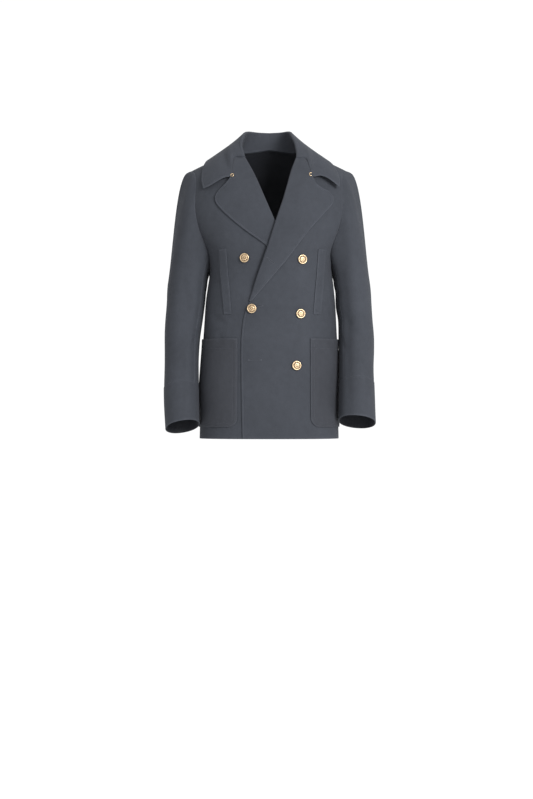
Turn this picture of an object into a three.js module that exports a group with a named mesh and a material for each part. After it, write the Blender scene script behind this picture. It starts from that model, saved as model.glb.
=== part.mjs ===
// A double-breasted pea coat, as it hangs when worn, empty and open at neck, hem and cuffs.
// Millimetres, +Z up, the front faces -Y, and the origin is at the base of the neck.
// The torso is one form of rings. Every panel is a wall cut from that form, and what lies on a panel
// is made from the panel's own points moved out.
import * as THREE from 'three';

// Sizes of the cloth and the seams
const CLOTH = 2.2; // wall of the panels
const TRIM = 1.6; // wall of pockets and welts
const GAP = 0.3; // between two pieces at a seam
const OVERLAP = 3.5; // how far the left front lies out over the right one
const FOLD = 1.4; // inner radius of the roll of a lapel
const ROUND = 2.45; // how square the torso rings are, 2 is an ellipse
const SLOPE = 1.3; // how the shoulder line bends down
const SIDE_Y = 4; // where the sides are widest, back from the origin
const TURNED = 2 * FOLD + CLOTH; // height of a lapel's face over the front

// The torso, a row a ring. along runs from the hem up the front to the shoulder line, and shift is how
// far the ring lies to the left
const FORM = table('along z half front back drop shift', [
  [0, -736, 177, 138, 128, 0, 0],
  [96, -640, 176.5, 136, 128, 0, 0],
  [180, -556, 174.5, 133, 120, 0, 1.2],
  [261, -475, 170, 129, 108, 0, 3.5],
  [348, -388, 163.8, 127, 101, 0, 3.4],
  [400, -336, 158.8, 128, 103, 0, 4],
  [436, -300, 156.5, 129, 108, 0, 3.5],
  [474, -262, 163, 129, 115, 2, 1],
  [536, -200, 193, 127, 121, 10, 0],
  [586, -150, 208, 122, 125, 22, 0],
  [638, -100, 212, 110, 121, 36, 0],
  [680, -60, 210, 96, 111, 48, 0],
  [713, -30, 208, 82, 99, 58, 0],
  [742, -8, 206, 64, 82, 67, 0],
  [769, 8, 206, 42, 59, 74, 0],
  [793, 17, 206, 20, 32, 78, 0],
  [813, 20, 206, 0, 0, 80, 0],
]);
const ARMPIT = 428;
const TOP = 813;
const NECK_X = 78; // from the centre to where the shoulder seam meets the neck
const BACK_NECK = 764; // how far up the back panel reaches at its centre
const ARM_FRONT = 35; // how deep the armhole is cut into the front, in degrees round the ring
const ARM_BACK = 25;
const SIDE_HEM = 116; // where the side seam is, in degrees from the front
const SIDE_TOP = 98;

// The front edge, the roll line above it and the neckline above that: height, then place across
const EDGE_LEFT = table('z x', [
  [-736, -65], [-638, -67], [-513, -68.5], [-463, -66], [-426, -60], [-394, -47], [-329, -24.5],
  [-264, -2], [-193, 20.5], [-138, 39], [-66, 59], [-36.4, 69.5], [-2.6, 78],
]);
const EDGE_RIGHT = table('z x', [
  [-736, 66], [-638, 68], [-513, 69], [-400, 69], [-340, 67], [-312, 61], [-286, 51], [-251, 36.5],
  [-189, 9], [-138, -13], [-76, -40], [-30, -64], [-2.6, -78],
]);
const BREAK_LEFT = -392; // where each lapel starts to turn
const BREAK_RIGHT = -314;
const GORGE_LEFT = -36.4; // where lapel and collar meet on the roll
const GORGE_RIGHT = -30;

// The outer edge of each lapel from its foot to its tip
const LAPEL_LEFT = table('share x z', [
  [0, -44, -392], [0.2, -2, -343], [0.42, 48, -281], [0.6, 85, -229], [0.8, 134, -173],
  [0.93, 156, -148], [1, 160.5, -131],
]);
const LAPEL_RIGHT = table('share x z', [
  [0, 63, -318], [0.25, 2, -260], [0.5, -52, -220], [0.7, -90, -189], [0.86, -120, -160],
  [0.96, -132, -143], [1, -133.5, -131],
]);
// The top edge of each lapel and the front edge of the collar, from the roll to the tip.
// They are one seam as far as the notch, at share 0.5
const TOP_LEFT = table('share x z', [
  [0, 69.5, -36.4], [0.25, 89, -40], [0.4, 98, -62], [0.5, 105.5, -82], [0.62, 116, -101],
  [0.75, 132, -111], [0.88, 147, -117], [1, 160.5, -131],
]);
const TOP_RIGHT = table('share x z', [
  [0, -64, -30], [0.25, -85, -34], [0.4, -90, -58], [0.5, -93, -79], [0.62, -102, -94],
  [0.75, -115, -107], [0.88, -126, -117], [1, -133.5, -131],
]);
const FRONT_LEFT = table('share x z lift', [
  [0, 69.5, -36.4, 0], [0.25, 89, -40, 2], [0.4, 98, -62, 4], [0.5, 105.5, -82, 5], [0.62, 124, -81, 9],
  [0.75, 139, -87, 13], [0.88, 154, -98, 15], [1, 168, -108, 13],
]);
const FRONT_RIGHT = table('share x z lift', [
  [0, -64, -30, 0], [0.25, -85, -34, 2], [0.4, -90, -58, 4], [0.5, -93, -79, 5], [0.62, -110, -86, 8],
  [0.75, -126, -95, 9], [0.88, -143, -105, 9], [1, -159, -111, 8],
]);
const NOTCH = 0.5;

// The collar from the back centre to the gorge: the roll and the outer edge, given for the right side.
// in and edgeIn are how much nearer to the neck they are on the left side
const COLLAR = table('share rollX rollY rollZ edgeX edgeY edgeZ bulge in edgeIn', [
  [0, 0, 76, 47, 0, 126, -46, 8, 0, 0],
  [0.18, 28, 69, 47, 58, 121, -44, 6, 0, 0],
  [0.36, 49, 44, 45, 116, 96, -40, 2, 3, 1],
  [0.52, 59, 14, 38, 148, 52, -31.5, 0, 6, 4],
  [0.66, 64, -14, 25, 157, 6, -27, 0, 6, 8],
  [0.8, 68, -38, 6, 164, -34, -48, 2, 3, 3],
  [0.92, 69, -60, -19, 165, -62, -86, 3, 0, -5],
  [1, 68, -73, -36.4, 159, -82, -111, 0, 0, -9],
]);
const ROLL = 4.2; // outer radius of the collar's roll

// Each sleeve below its head, a row a ring: height, inner and outer side, front and back
const SLEEVE_LEFT = table('z inner outer front back', [
  [-320, 164, 255.5, -62, 76], [-345, 165, 258, -62, 72], [-366, 169.5, 260, -63, 68],
  [-403, 171, 262, -65, 62], [-434, 175.6, 264, -68, 56], [-475, 176, 266.5, -74, 46],
  [-515, 176.8, 266, -82, 35], [-556, 176.8, 265, -92, 23], [-620, 176.3, 266, -106, 8],
  [-700, 175.5, 269, -118, -6],
]);
const SLEEVE_RIGHT = table('z inner outer front back', [
  [-320, 156, 256, -62, 76], [-345, 157.4, 258.5, -62, 72], [-366, 160.5, 260, -63, 67],
  [-388, 162.8, 261, -64, 62], [-434, 168.8, 264, -68, 54], [-475, 174.8, 265.5, -73, 46],
  [-515, 177.2, 265.5, -80, 36], [-556, 178.4, 265, -88, 25], [-620, 177, 265, -100, 10],
  [-700, 176, 261, -112, -4],
]);
const SLEEVE_TILT = 0.3; // how much lower the back of the cuff is than its front
const CUFF_TOP = { left: -594, right: -606 };
const CUFF_END = { left: -691, right: -703 };
const SEAM_FRONT = 40; // the sleeve's two seams, in degrees from its inner side
const SEAM_BACK = 300;

// Soft folds of the fronts: from, to, half width and height, where a trough is below 0
const FOLDS = table('x0 z0 x1 z1 wide high', [
  [-146, -424, -112, -450, 9, -3],
  [-140, -262, -137, -425, 12, -1.5],
  [150, -262, 142, -430, 13, -2],
  [-100, -500, -140, -640, 22, 2],
]);
// Folds of the sleeves: side, degrees from the inner side, from and to height, half width in degrees
const SLEEVE_FOLDS = table('side at0 z0 at1 z1 wide high', [
  [-1, 62, -240, 66, -690, 14, 3], [-1, 100, -330, 70, -470, 16, -2.5], [-1, 40, -420, 95, -500, 15, -2.5],
  [1, 60, -270, 62, -680, 16, -3], [1, 100, -300, 96, -690, 18, 2.5], [1, 50, -440, 110, -500, 16, -2],
]);

// Pockets and trim
const POCKET = { wide: 190, top: -486, bottom: -707, corner: 25, left: 102, right: -79 };
const WELT = { top: -261, bottom: -424, wide: 18 };
const WELT_AT = { left: [131, 118.5], right: [-116, -103] }; // place across of its top and its bottom
const BUTTON = { radius: 11.6, shank: 3.2, height: 3, thick: 5.4 };
const BUTTONS = [
  ['button_top_left', -60.4, -284.5], ['button_top_right', 79.8, -288.7], ['button_mid_left', -42.3, -411.4],
  ['button_mid_right', 77.3, -424], ['button_low_right', 67.3, -553.6],
];
const WIRE = 0.9; // radius of the wire of hook and eye
const SEAT = TURNED + 5 + WIRE + GAP; // height of that wire over the front, at the notch

const COLOUR = { cloth: 0x494d55, brass: 0xb08d57 };

// A table is rows under named columns, read by its first column with a smooth curve between rows
function table(names, rows) {
  return { names: names.split(' '), rows };
}
function at(tab, u) {
  const { names, rows } = tab, last = rows.length - 1, down = rows[0][0] > rows[last][0];
  const key = (r) => (down ? -rows[r][0] : rows[r][0]);
  const v = Math.min(Math.max(down ? -u : u, key(0)), key(last));
  let k = 0;
  while (k < last - 1 && key(k + 1) < v) k++;
  const w = key(k + 1) - key(k), s = (v - key(k)) / w, out = {};
  for (let c = 1; c < names.length; c++) {
    const rise = (r) => {
      const a = Math.max(r - 1, 0), b = Math.min(r + 1, last);
      return ((rows[b][c] - rows[a][c]) / (key(b) - key(a))) * w;
    };
    const p = rows[k][c], q = rows[k + 1][c], s2 = s * s, s3 = s2 * s;
    out[names[c]] = (2 * s3 - 3 * s2 + 1) * p + (s3 - 2 * s2 + s) * rise(k)
      + (3 * s2 - 2 * s3) * q + (s3 - s2) * rise(k + 1);
  }
  return out;
}

const rad = (d) => (d * Math.PI) / 180;
const mix = (a, b, s) => a + (b - a) * s;
const ease = (s) => { s = Math.min(Math.max(s, 0), 1); return s * s * (3 - 2 * s); };
const V = (x, y, z) => new THREE.Vector3(x, y, z);
const power = (v, e) => Math.sign(v) * Math.abs(v) ** e;
const steps = (n, f) => Array.from({ length: n + 1 }, (_, i) => f(i / n, i));
const blend = (p, q, s) => p.clone().lerp(q, s);

// How far a point is from a fold's line, as a soft bump that dies out at both ends
function bump(dx, dz, ex, ez, wide) {
  const s = Math.min(Math.max((dx * ex + dz * ez) / (ex * ex + ez * ez), 0), 1);
  const d = Math.hypot(dx - s * ex, dz - s * ez);
  return Math.exp(-((d / wide) ** 2)) * Math.sin(Math.PI * (0.08 + 0.84 * s)) ** 0.6;
}
function folds(x, z) {
  return FOLDS.rows.reduce((sum, [x0, z0, x1, z1, wide, high]) =>
    sum + high * bump(x - x0, z - z0, x1 - x0, z1 - z0, wide), 0);
}

// The bare torso at an angle from the front centre and a place along the height
function bare(angle, along) {
  const f = at(FORM, along), s = Math.sin(angle), c = Math.cos(angle);
  const x = power(s, 2 / ROUND), depth = c > 0 ? f.front : f.back;
  return V(f.shift + f.half * x, SIDE_Y - depth * power(c, 2 / ROUND), f.z - f.drop * Math.abs(x) ** SLOPE);
}
function outward(angle, along) {
  if (along > TOP - 0.5 && Math.abs(Math.cos(angle)) > 0.02) {
    return slant(angle, along).add(slant(Math.PI - angle, along)).normalize();
  }
  return slant(angle, along);
}
function slant(angle, along) {
  const d = 0.012, lo = Math.max(along - 3, 0), hi = Math.min(along + 3, TOP);
  const round = bare(angle + d, along).sub(bare(angle - d, along));
  const up = bare(angle, hi).sub(bare(angle, lo));
  return round.cross(up).normalize();
}
function skin(angle, along, off = 0) {
  const p = bare(angle, along);
  const front = Math.cos(angle) > -0.3 ? folds(p.x, p.z) * ease((TOP - along) / 80) : 0;
  return p.addScaledVector(outward(angle, along), off + front);
}
// The place on the front that has this place across and this height
function onFront(x, z) {
  let lo = 0, hi = TOP;
  for (let k = 0; k < 40; k++) {
    const m = (lo + hi) / 2, f = at(FORM, m);
    if (f.z - f.drop * Math.abs((x - f.shift) / f.half) ** SLOPE < z) lo = m; else hi = m;
  }
  return { angle: angleOf(x, lo), along: lo };
}
function angleOf(x, along) {
  const f = at(FORM, along), share = (x - f.shift) / f.half;
  return Math.sign(share) * Math.asin(Math.min(Math.abs(share), 1) ** (ROUND / 2));
}
// How far out the left front lies over the right one
function over(x, z) {
  const flap = OVERLAP * ease((165 - x) / 80);
  const lapel = 6.6 * ease((x + 75) / 45) * ease((140 - x) / 60) * ease((z + 382) / 45) * ease((-70 - z) / 70);
  return flap + lapel * ease((120 - x) / 50);
}
function chest(side, x, z, off) {
  const p = onFront(x, z);
  const n = outward(p.angle, p.along);
  return { p: skin(p.angle, p.along, off + (side > 0 ? over(x, z) : 0)), n };
}

// A closed wall from a grid of points on its face and the direction out of it there
function wall(name, face, out, thick, { ring = false, colour = 'cloth' } = {}) {
  const rows = face.length, cols = face[0].length, pos = [], tri = [];
  for (const sheet of [0, 1]) {
    for (let i = 0; i < rows; i++) {
      for (let j = 0; j < cols; j++) {
        const p = face[i][j].clone().addScaledVector(out[i][j], sheet ? -thick : 0);
        pos.push(p.x, p.y, p.z);
      }
    }
  }
  const id = (s, i, j) => s * rows * cols + i * cols + (j % cols);
  const quad = (a, b, c, d) => tri.push(a, b, c, a, c, d);
  const span = ring ? cols : cols - 1;
  for (let i = 0; i < rows - 1; i++) {
    for (let j = 0; j < span; j++) {
      quad(id(0, i, j), id(0, i, j + 1), id(0, i + 1, j + 1), id(0, i + 1, j));
      quad(id(1, i, j), id(1, i + 1, j), id(1, i + 1, j + 1), id(1, i, j + 1));
    }
    if (!ring) {
      quad(id(0, i + 1, 0), id(1, i + 1, 0), id(1, i, 0), id(0, i, 0));
      quad(id(0, i, span), id(1, i, span), id(1, i + 1, span), id(0, i + 1, span));
    }
  }
  for (let j = 0; j < span; j++) {
    quad(id(0, 0, j), id(1, 0, j), id(1, 0, j + 1), id(0, 0, j + 1));
    quad(id(0, rows - 1, j + 1), id(1, rows - 1, j + 1), id(1, rows - 1, j), id(0, rows - 1, j));
  }
  return solid(name, pos, tri, colour);
}

function solid(name, pos, tri, colour) {
  let volume = 0;
  const p = (k) => V(pos[3 * k], pos[3 * k + 1], pos[3 * k + 2]);
  for (let k = 0; k < tri.length; k += 3) volume += p(tri[k]).dot(p(tri[k + 1]).cross(p(tri[k + 2])));
  if (volume < 0) for (let k = 0; k < tri.length; k += 3) [tri[k], tri[k + 1]] = [tri[k + 1], tri[k]];
  const g = new THREE.BufferGeometry();
  g.setAttribute('position', new THREE.Float32BufferAttribute(pos, 3));
  g.setIndex(tri);
  g.computeVertexNormals();
  const brass = colour === 'brass';
  const m = new THREE.Mesh(g, new THREE.MeshStandardMaterial({
    color: COLOUR[colour], roughness: brass ? 0.35 : 0.9, metalness: brass ? 1 : 0,
  }));
  m.name = name;
  group.add(m);
  return m;
}

// The direction out of a grid, from its neighbours
function grain(face, ring = false, flip = 1) {
  const rows = face.length, cols = face[0].length;
  return face.map((row, i) => row.map((_, j) => {
    const l = ring ? (j + cols - 1) % cols : Math.max(j - 1, 0);
    const r = ring ? (j + 1) % cols : Math.min(j + 1, cols - 1);
    const across = face[i][r].clone().sub(face[i][l]);
    const up = face[Math.min(i + 1, rows - 1)][j].clone().sub(face[Math.max(i - 1, 0)][j]);
    return across.cross(up).normalize().multiplyScalar(flip);
  }));
}
// Moves an edge of a grid in from its seam
function pull(face, edge, by) {
  const rows = face.length, cols = face[0].length;
  const move = (p, q) => p.add(q.clone().sub(p).setLength(by));
  if (edge === 'first' || edge === 'last') {
    const [i, k] = edge === 'first' ? [0, 1] : [rows - 1, rows - 2];
    face[i].forEach((p, j) => move(p, face[k][j]));
  } else {
    const [j, k] = edge === 'left' ? [0, 1] : [cols - 1, cols - 2];
    face.forEach((row) => move(row[j], row[k]));
  }
}

const group = new THREE.Group();
group.name = 'pea_coat';

// Levels of the rings: even below the armpit, closer to both ends of the armhole above it
const LOW = 19, HIGH = 14;
const levels = [
  ...steps(LOW, (s) => ARMPIT * s),
  ...steps(HIGH, (s) => ARMPIT + (TOP - ARMPIT) * (1 - Math.cos(Math.PI * s)) / 2).slice(1),
];
// The angle where a front or the back ends at the side, which is the armhole above the armpit
function sideAngle(along, cut) {
  if (along <= ARMPIT) return rad(mix(SIDE_HEM, SIDE_TOP, along / ARMPIT));
  const s = (along - ARMPIT) / (TOP - ARMPIT);
  const deep = (1 - Math.abs(2 * s - 1) ** 2.3) ** (1 / 2.3);
  return rad(mix(SIDE_TOP, 90, s) + cut * deep);
}
// Even shares of a ring between two angles
function share(from, to, along, shares) {
  const line = steps(90, (s) => mix(from, to, s)), len = [0];
  let p = bare(from, along);
  for (const a of line.slice(1)) {
    const q = bare(a, along);
    len.push(len[len.length - 1] + q.distanceTo(p));
    p = q;
  }
  return shares.map((s) => {
    const want = s * len[90];
    let k = 0;
    while (k < 89 && len[k + 1] < want) k++;
    return mix(line[k], line[k + 1], (want - len[k]) / (len[k + 1] - len[k]));
  });
}

// A front, from its edge, roll line and neckline to the side seam and armhole
function front(side) {
  const edge = side > 0 ? EDGE_LEFT : EDGE_RIGHT, cols = 12;
  const face = [], out = [], line = [];
  for (const along of levels) {
    let x = at(edge, -200).x;
    for (let k = 0; k < 30; k++) {
      const f = at(FORM, along);
      x = mix(x, at(edge, f.z - f.drop * Math.abs((x - f.shift) / f.half) ** SLOPE).x, 0.7);
    }
    const from = angleOf(x, along);
    const angles = share(from, side * sideAngle(along, -ARM_FRONT), along, steps(cols, (s) => s));
    const base = angles.map((a) => bare(a, along));
    const lift = base.map((p) => (side > 0 ? over(p.x, p.z) : 0));
    face.push(angles.map((a, j) => skin(a, along, lift[j])));
    out.push(angles.map((a) => outward(a, along)));
    line.push({ along, angle: from, x, z: base[0].z });
  }
  const arm = face.slice(LOW).map((row, i) => ({ p: row[cols].clone(), n: out[LOW + i][cols].clone(), q: row[cols - 1] }));
  const roll = line.map((l, i) => ({ ...l, p: face[i][0].clone(), n: out[i][0].clone() }));
  pull(face, 'right', GAP / 2);
  pull(face, 'last', GAP / 2);
  wall(side > 0 ? 'front_left' : 'front_right', face, out, CLOTH);
  return { arm, roll };
}

// The back, up to the shoulder seams and round the neck between them
function back() {
  const half = [0, 0.13, 0.26, NECK_X / 206, 0.485, 0.59, 0.695, 0.8, 0.9, 1];
  const shares = [...half.slice(1).map((s) => -s).reverse(), ...half];
  const neck = (x) => (Math.abs(x) >= NECK_X - 0.01 ? TOP
    : TOP - (TOP - BACK_NECK) * (1 - (x / NECK_X) ** 2) ** 0.5);
  const face = [], out = [], arm = { 1: [], '-1': [] };
  levels.forEach((along, i) => {
    const end = sideAngle(along, ARM_BACK);
    const row = [], dir = [];
    const angles = share(Math.PI, end, along, half);
    shares.forEach((s) => {
      const k = half.indexOf(Math.abs(s)), sign = s < 0 ? -1 : 1;
      let a = angles[k], t = along;
      if (along > ARMPIT) {
        const x = NECK_X * Math.abs(s) / (NECK_X / 206);
        t = ARMPIT + (along - ARMPIT) * (neck(Math.min(x, 206)) - ARMPIT) / (TOP - ARMPIT);
        if (t < along) a = share(Math.PI, sideAngle(along, ARM_BACK), t, half)[k];
      }
      row.push(skin(sign * a, t));
      dir.push(outward(sign * a, t));
    });
    face.push(row);
    out.push(dir);
    if (i >= LOW) {
      arm[1].push({ p: row[row.length - 1].clone(), n: dir[row.length - 1].clone(), q: row[row.length - 2] });
      arm[-1].push({ p: row[0].clone(), n: dir[0].clone(), q: row[1] });
    }
  });
  const rim = face[face.length - 1].map((p, j) => ({ p: p.clone(), n: out[face.length - 1][j].clone() }));
  pull(face, 'left', GAP / 2);
  pull(face, 'right', GAP / 2);
  pull(face, 'last', GAP / 2);
  wall('back', face, out, CLOTH);
  return { arm, rim: rim.filter((_, j) => Math.abs(shares[j]) <= NECK_X / 206 + 1e-6) };
}

// The roll of a lapel or of the collar's end: half a turn round the edge of the front
function turn(p, n, d) {
  return [0, 45, 90, 135, 180].map((deg) => {
    const r = n.clone().multiplyScalar(-Math.cos(rad(deg))).addScaledVector(d, Math.sin(rad(deg)));
    return { p: p.clone().addScaledVector(n, FOLD).addScaledVector(r, FOLD + CLOTH).addScaledVector(d, 3 * GAP), n: r };
  });
}
// Where the roll of a lapel meets the collar, on the edge of the front, with the way into the neck opening
function gorge(side) {
  const [edge, high] = side > 0 ? [EDGE_LEFT, GORGE_LEFT] : [EDGE_RIGHT, GORGE_RIGHT];
  const [here, above, below] = [0, 8, -8].map((h) => chest(side, at(edge, high + h).x, high + h, 0));
  const d = above.p.sub(below.p).cross(here.n).normalize();
  if (d.x * side > 0) d.negate();
  return { ...here, d };
}
const ACROSS = [0.07, 0.16, 0.25, 0.4, 0.5, 0.62, 0.75, 0.88, 1];

function lapel(side, roll) {
  const [edge, top, low, high] = side > 0 ? [LAPEL_LEFT, TOP_LEFT, BREAK_LEFT, GORGE_LEFT]
    : [LAPEL_RIGHT, TOP_RIGHT, BREAK_RIGHT, GORGE_RIGHT];
  const part = roll.filter((r) => r.z > low && r.z < high - 8);
  const face = [], out = [];
  const end = gorge(side);
  const line = [...part, { x: at(top, 0).x, z: high, p: end.p, n: end.n }];
  const foot = line[0].z, tall = high - foot;
  line.forEach((r, i) => {
    const s = (r.z - foot) / tall, o = at(edge, s), last = i === line.length - 1;
    const next = line[Math.min(i + 1, line.length - 1)], before = line[Math.max(i - 1, 0)];
    const along = next.p.clone().sub(before.p).normalize();
    const d = along.clone().cross(r.n).multiplyScalar(side).normalize();
    if (d.x * side > 0) d.negate();
    const row = turn(r.p, r.n, last ? end.d : d), near = ease((s - 0.62) / 0.38);
    for (const w of ACROSS) {
      const e = at(top, w);
      const x = mix(r.x, o.x, w) + near * (e.x - mix(at(top, 0).x, at(edge, 1).x, w));
      const z = mix(r.z, o.z, w) + near * (e.z - mix(high, at(edge, 1).z, w));
      const soft = 3 * Math.sin(Math.PI * w) * ease(side > 0 ? s / 0.3 : (s - 0.35) / 0.4) * (1 - near);
      const c = chest(side, x, z, TURNED + soft + near * seamLift(w));
      row.push({ p: c.p, n: c.n });
    }
    face.push(row.map((c) => c.p));
    out.push(row.map((c) => c.n));
  });
  pull(face, 'last', GAP / 2);
  wall(side > 0 ? 'lapel_left' : 'lapel_right', face, out, CLOTH);
}
// How far lapel and collar stand off the front along the gorge seam
function seamLift(w) {
  return w <= NOTCH ? 5 * ease(w / NOTCH) : 5 * (1 - ease((w - NOTCH) / 0.5));
}

// The collar: stand up from the neck, over the roll and down the fall to the outer edge
function collar(rim, rolls) {
  const stations = [0, 0.09, 0.18, 0.27, 0.36, 0.44, 0.52, 0.59, 0.66, 0.73, 0.8, 0.86, 0.92, 0.96, 1];
  const sideOf = (side) => {
    const key = side > 0 ? rolls.left : rolls.right, high = side > 0 ? GORGE_LEFT : GORGE_RIGHT;
    const edge = side > 0 ? FRONT_LEFT : FRONT_RIGHT;
    const start = gorge(side);
    const neck = [...rim.filter((r) => r.p.x * side >= -0.01).sort((a, b) => (a.p.x - b.p.x) * side),
      ...key.filter((r) => r.z > high + 4).sort((a, b) => b.z - a.z).slice(1), { p: start.p, n: start.n }];
    const len = [0];
    neck.slice(1).forEach((r, k) => len.push(len[k] + r.p.distanceTo(neck[k].p)));
    const base = (s) => {
      const want = s * len[len.length - 1];
      let k = 0;
      while (k < len.length - 2 && len[k + 1] < want) k++;
      const f = (want - len[k]) / (len[k + 1] - len[k]);
      const p = blend(neck[k].p, neck[k + 1].p, f), n = blend(neck[k].n, neck[k + 1].n, f).normalize();
      const inward = neck[k + 1].p.clone().sub(neck[k].p).cross(n).normalize();
      if (inward.x * p.x + inward.y * p.y > 0) inward.negate();
      return { p, n, inward };
    };
    const section = (a) => {
      const c = at(COLLAR, a);
      const g = start.p, w1 = ease((a - 0.8) / 0.2);
      const r = V(side * (c.rollX - (side > 0 ? c.in : 0)), c.rollY, c.rollZ).add(
        g.clone().sub(V(side * 68, -73, -36.4)).multiplyScalar(w1));
      return { r, o: V(side * (c.edgeX - (side > 0 ? c.edgeIn : 0)), c.edgeY, c.edgeZ), bulge: c.bulge };
    };
    const line = (a) => {
      const { r, o, bulge } = section(a), b = base(a);
      const d = 0.02, run = section(Math.min(a + d, 1)).r.sub(section(Math.max(a - d, 0)).r).normalize();
      const clear = (v) => v.addScaledVector(run, -v.dot(run)).normalize();
      const last = a === 1;
      const foot = b.p.clone().addScaledVector(b.n, -CLOTH)
        .addScaledVector(b.inward, GAP + 1.8 * CLOTH * (1 - ease((a - 0.965) / 0.035)));
      const tall = r.distanceTo(foot);
      const dG = start.d.clone();
      const rise = clear(last ? dG.clone() : blend(dG, r.clone().sub(foot).normalize(), ease(tall / 22)));
      const up = last ? dG : rise.addScaledVector(clear(o.clone().sub(r)), -0.6).normalize();
      const away = last ? start.n.clone() : run.clone().cross(up).normalize();
      if (away.dot(b.n) - away.dot(b.inward) < 0) away.negate();
      const rad2 = last ? FOLD + CLOTH : ROLL;
      const row = [];
      const inner = last ? start.p.clone().addScaledVector(start.n, -CLOTH).addScaledVector(dG, 3 * GAP) : r;
      const low = last ? inner.clone().addScaledVector(dG, -2 * GAP) : foot;
      for (const s of [0, 0.35, 0.7]) row.push(blend(low, inner, s));
      const hub = inner.clone().addScaledVector(away, rad2);
      for (const deg of [0, 45, 90, 135, 180]) {
        row.push(hub.clone().addScaledVector(away, -rad2 * Math.cos(rad(deg))).addScaledVector(up, rad2 * Math.sin(rad(deg))));
      }
      const from = inner.clone().addScaledVector(away, 2 * rad2), span = o.clone().sub(from);
      const puff = up.clone().add(away).normalize();
      puff.addScaledVector(span, -puff.dot(span) / span.lengthSq()).normalize();
      for (const w of ACROSS) {
        row.push(from.clone().addScaledVector(span, w).addScaledVector(puff, bulge * 4 * w * (1 - w)));
      }
      return row;
    };
    // towards its end the fall bends to its front edge, which lies on the chest
    const plain = line(1);
    const bend = ACROSS.map((w, k) => {
      const e = at(edge, w);
      return chest(side, e.x, e.z, TURNED + e.lift).p.sub(plain[8 + k]);
    });
    return stations.map((a) => {
      const row = line(a), near = ease((a - 0.66) / 0.34);
      bend.forEach((b, k) => row[8 + k].addScaledVector(b, near));
      return row;
    });
  };
  const left = sideOf(1), right = sideOf(-1);
  const face = [...right.slice(1).reverse(), ...left];
  const out = grain(face, false, -1);
  for (const [side, i] of [[1, face.length - 1], [-1, 0]]) {
    const end = gorge(side), edge = side > 0 ? FRONT_LEFT : FRONT_RIGHT;
    turn(end.p, end.n, end.d).forEach((c, k) => out[i][3 + k].copy(c.n));
    for (let k = 0; k < 3; k++) out[i][k].copy(out[i][3]);
    ACROSS.forEach((w, k) => { const e = at(edge, w); out[i][8 + k].copy(chest(side, e.x, e.z, 0).n); });
  }
  pull(face, 'first', GAP / 2);
  pull(face, 'last', GAP / 2);
  wall('collar', face, out, CLOTH);
  return { left, right };
}

// A point of a sleeve's ring. round is the angle from its inner side, by the front
function ringPoint(side, z, round) {
  const r = at(side > 0 ? SLEEVE_LEFT : SLEEVE_RIGHT, z);
  const mid = (r.inner + r.outer) / 2, half = (r.outer - r.inner) / 2;
  const deep = (r.back - r.front) / 2, y0 = (r.back + r.front) / 2;
  const c = power(Math.cos(round), 0.93), s = power(Math.sin(round), 0.93);
  const tilt = SLEEVE_TILT * ease((-380 - z) / 220);
  let push = 0;
  for (const [k, a0, z0, a1, z1, wide, high] of SLEEVE_FOLDS.rows) {
    if (k !== side) continue;
    const deg = (round * 180) / Math.PI;
    push += high * bump((deg - a0) * 1.0, (z - z0), a1 - a0, z1 - z0, wide);
  }
  const grow = 1 + push / half;
  return V(side * (mid - half * c * grow), y0 - deep * s * (1 + push / deep), z + tilt * (deep * s) - tilt * 8);
}

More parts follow.
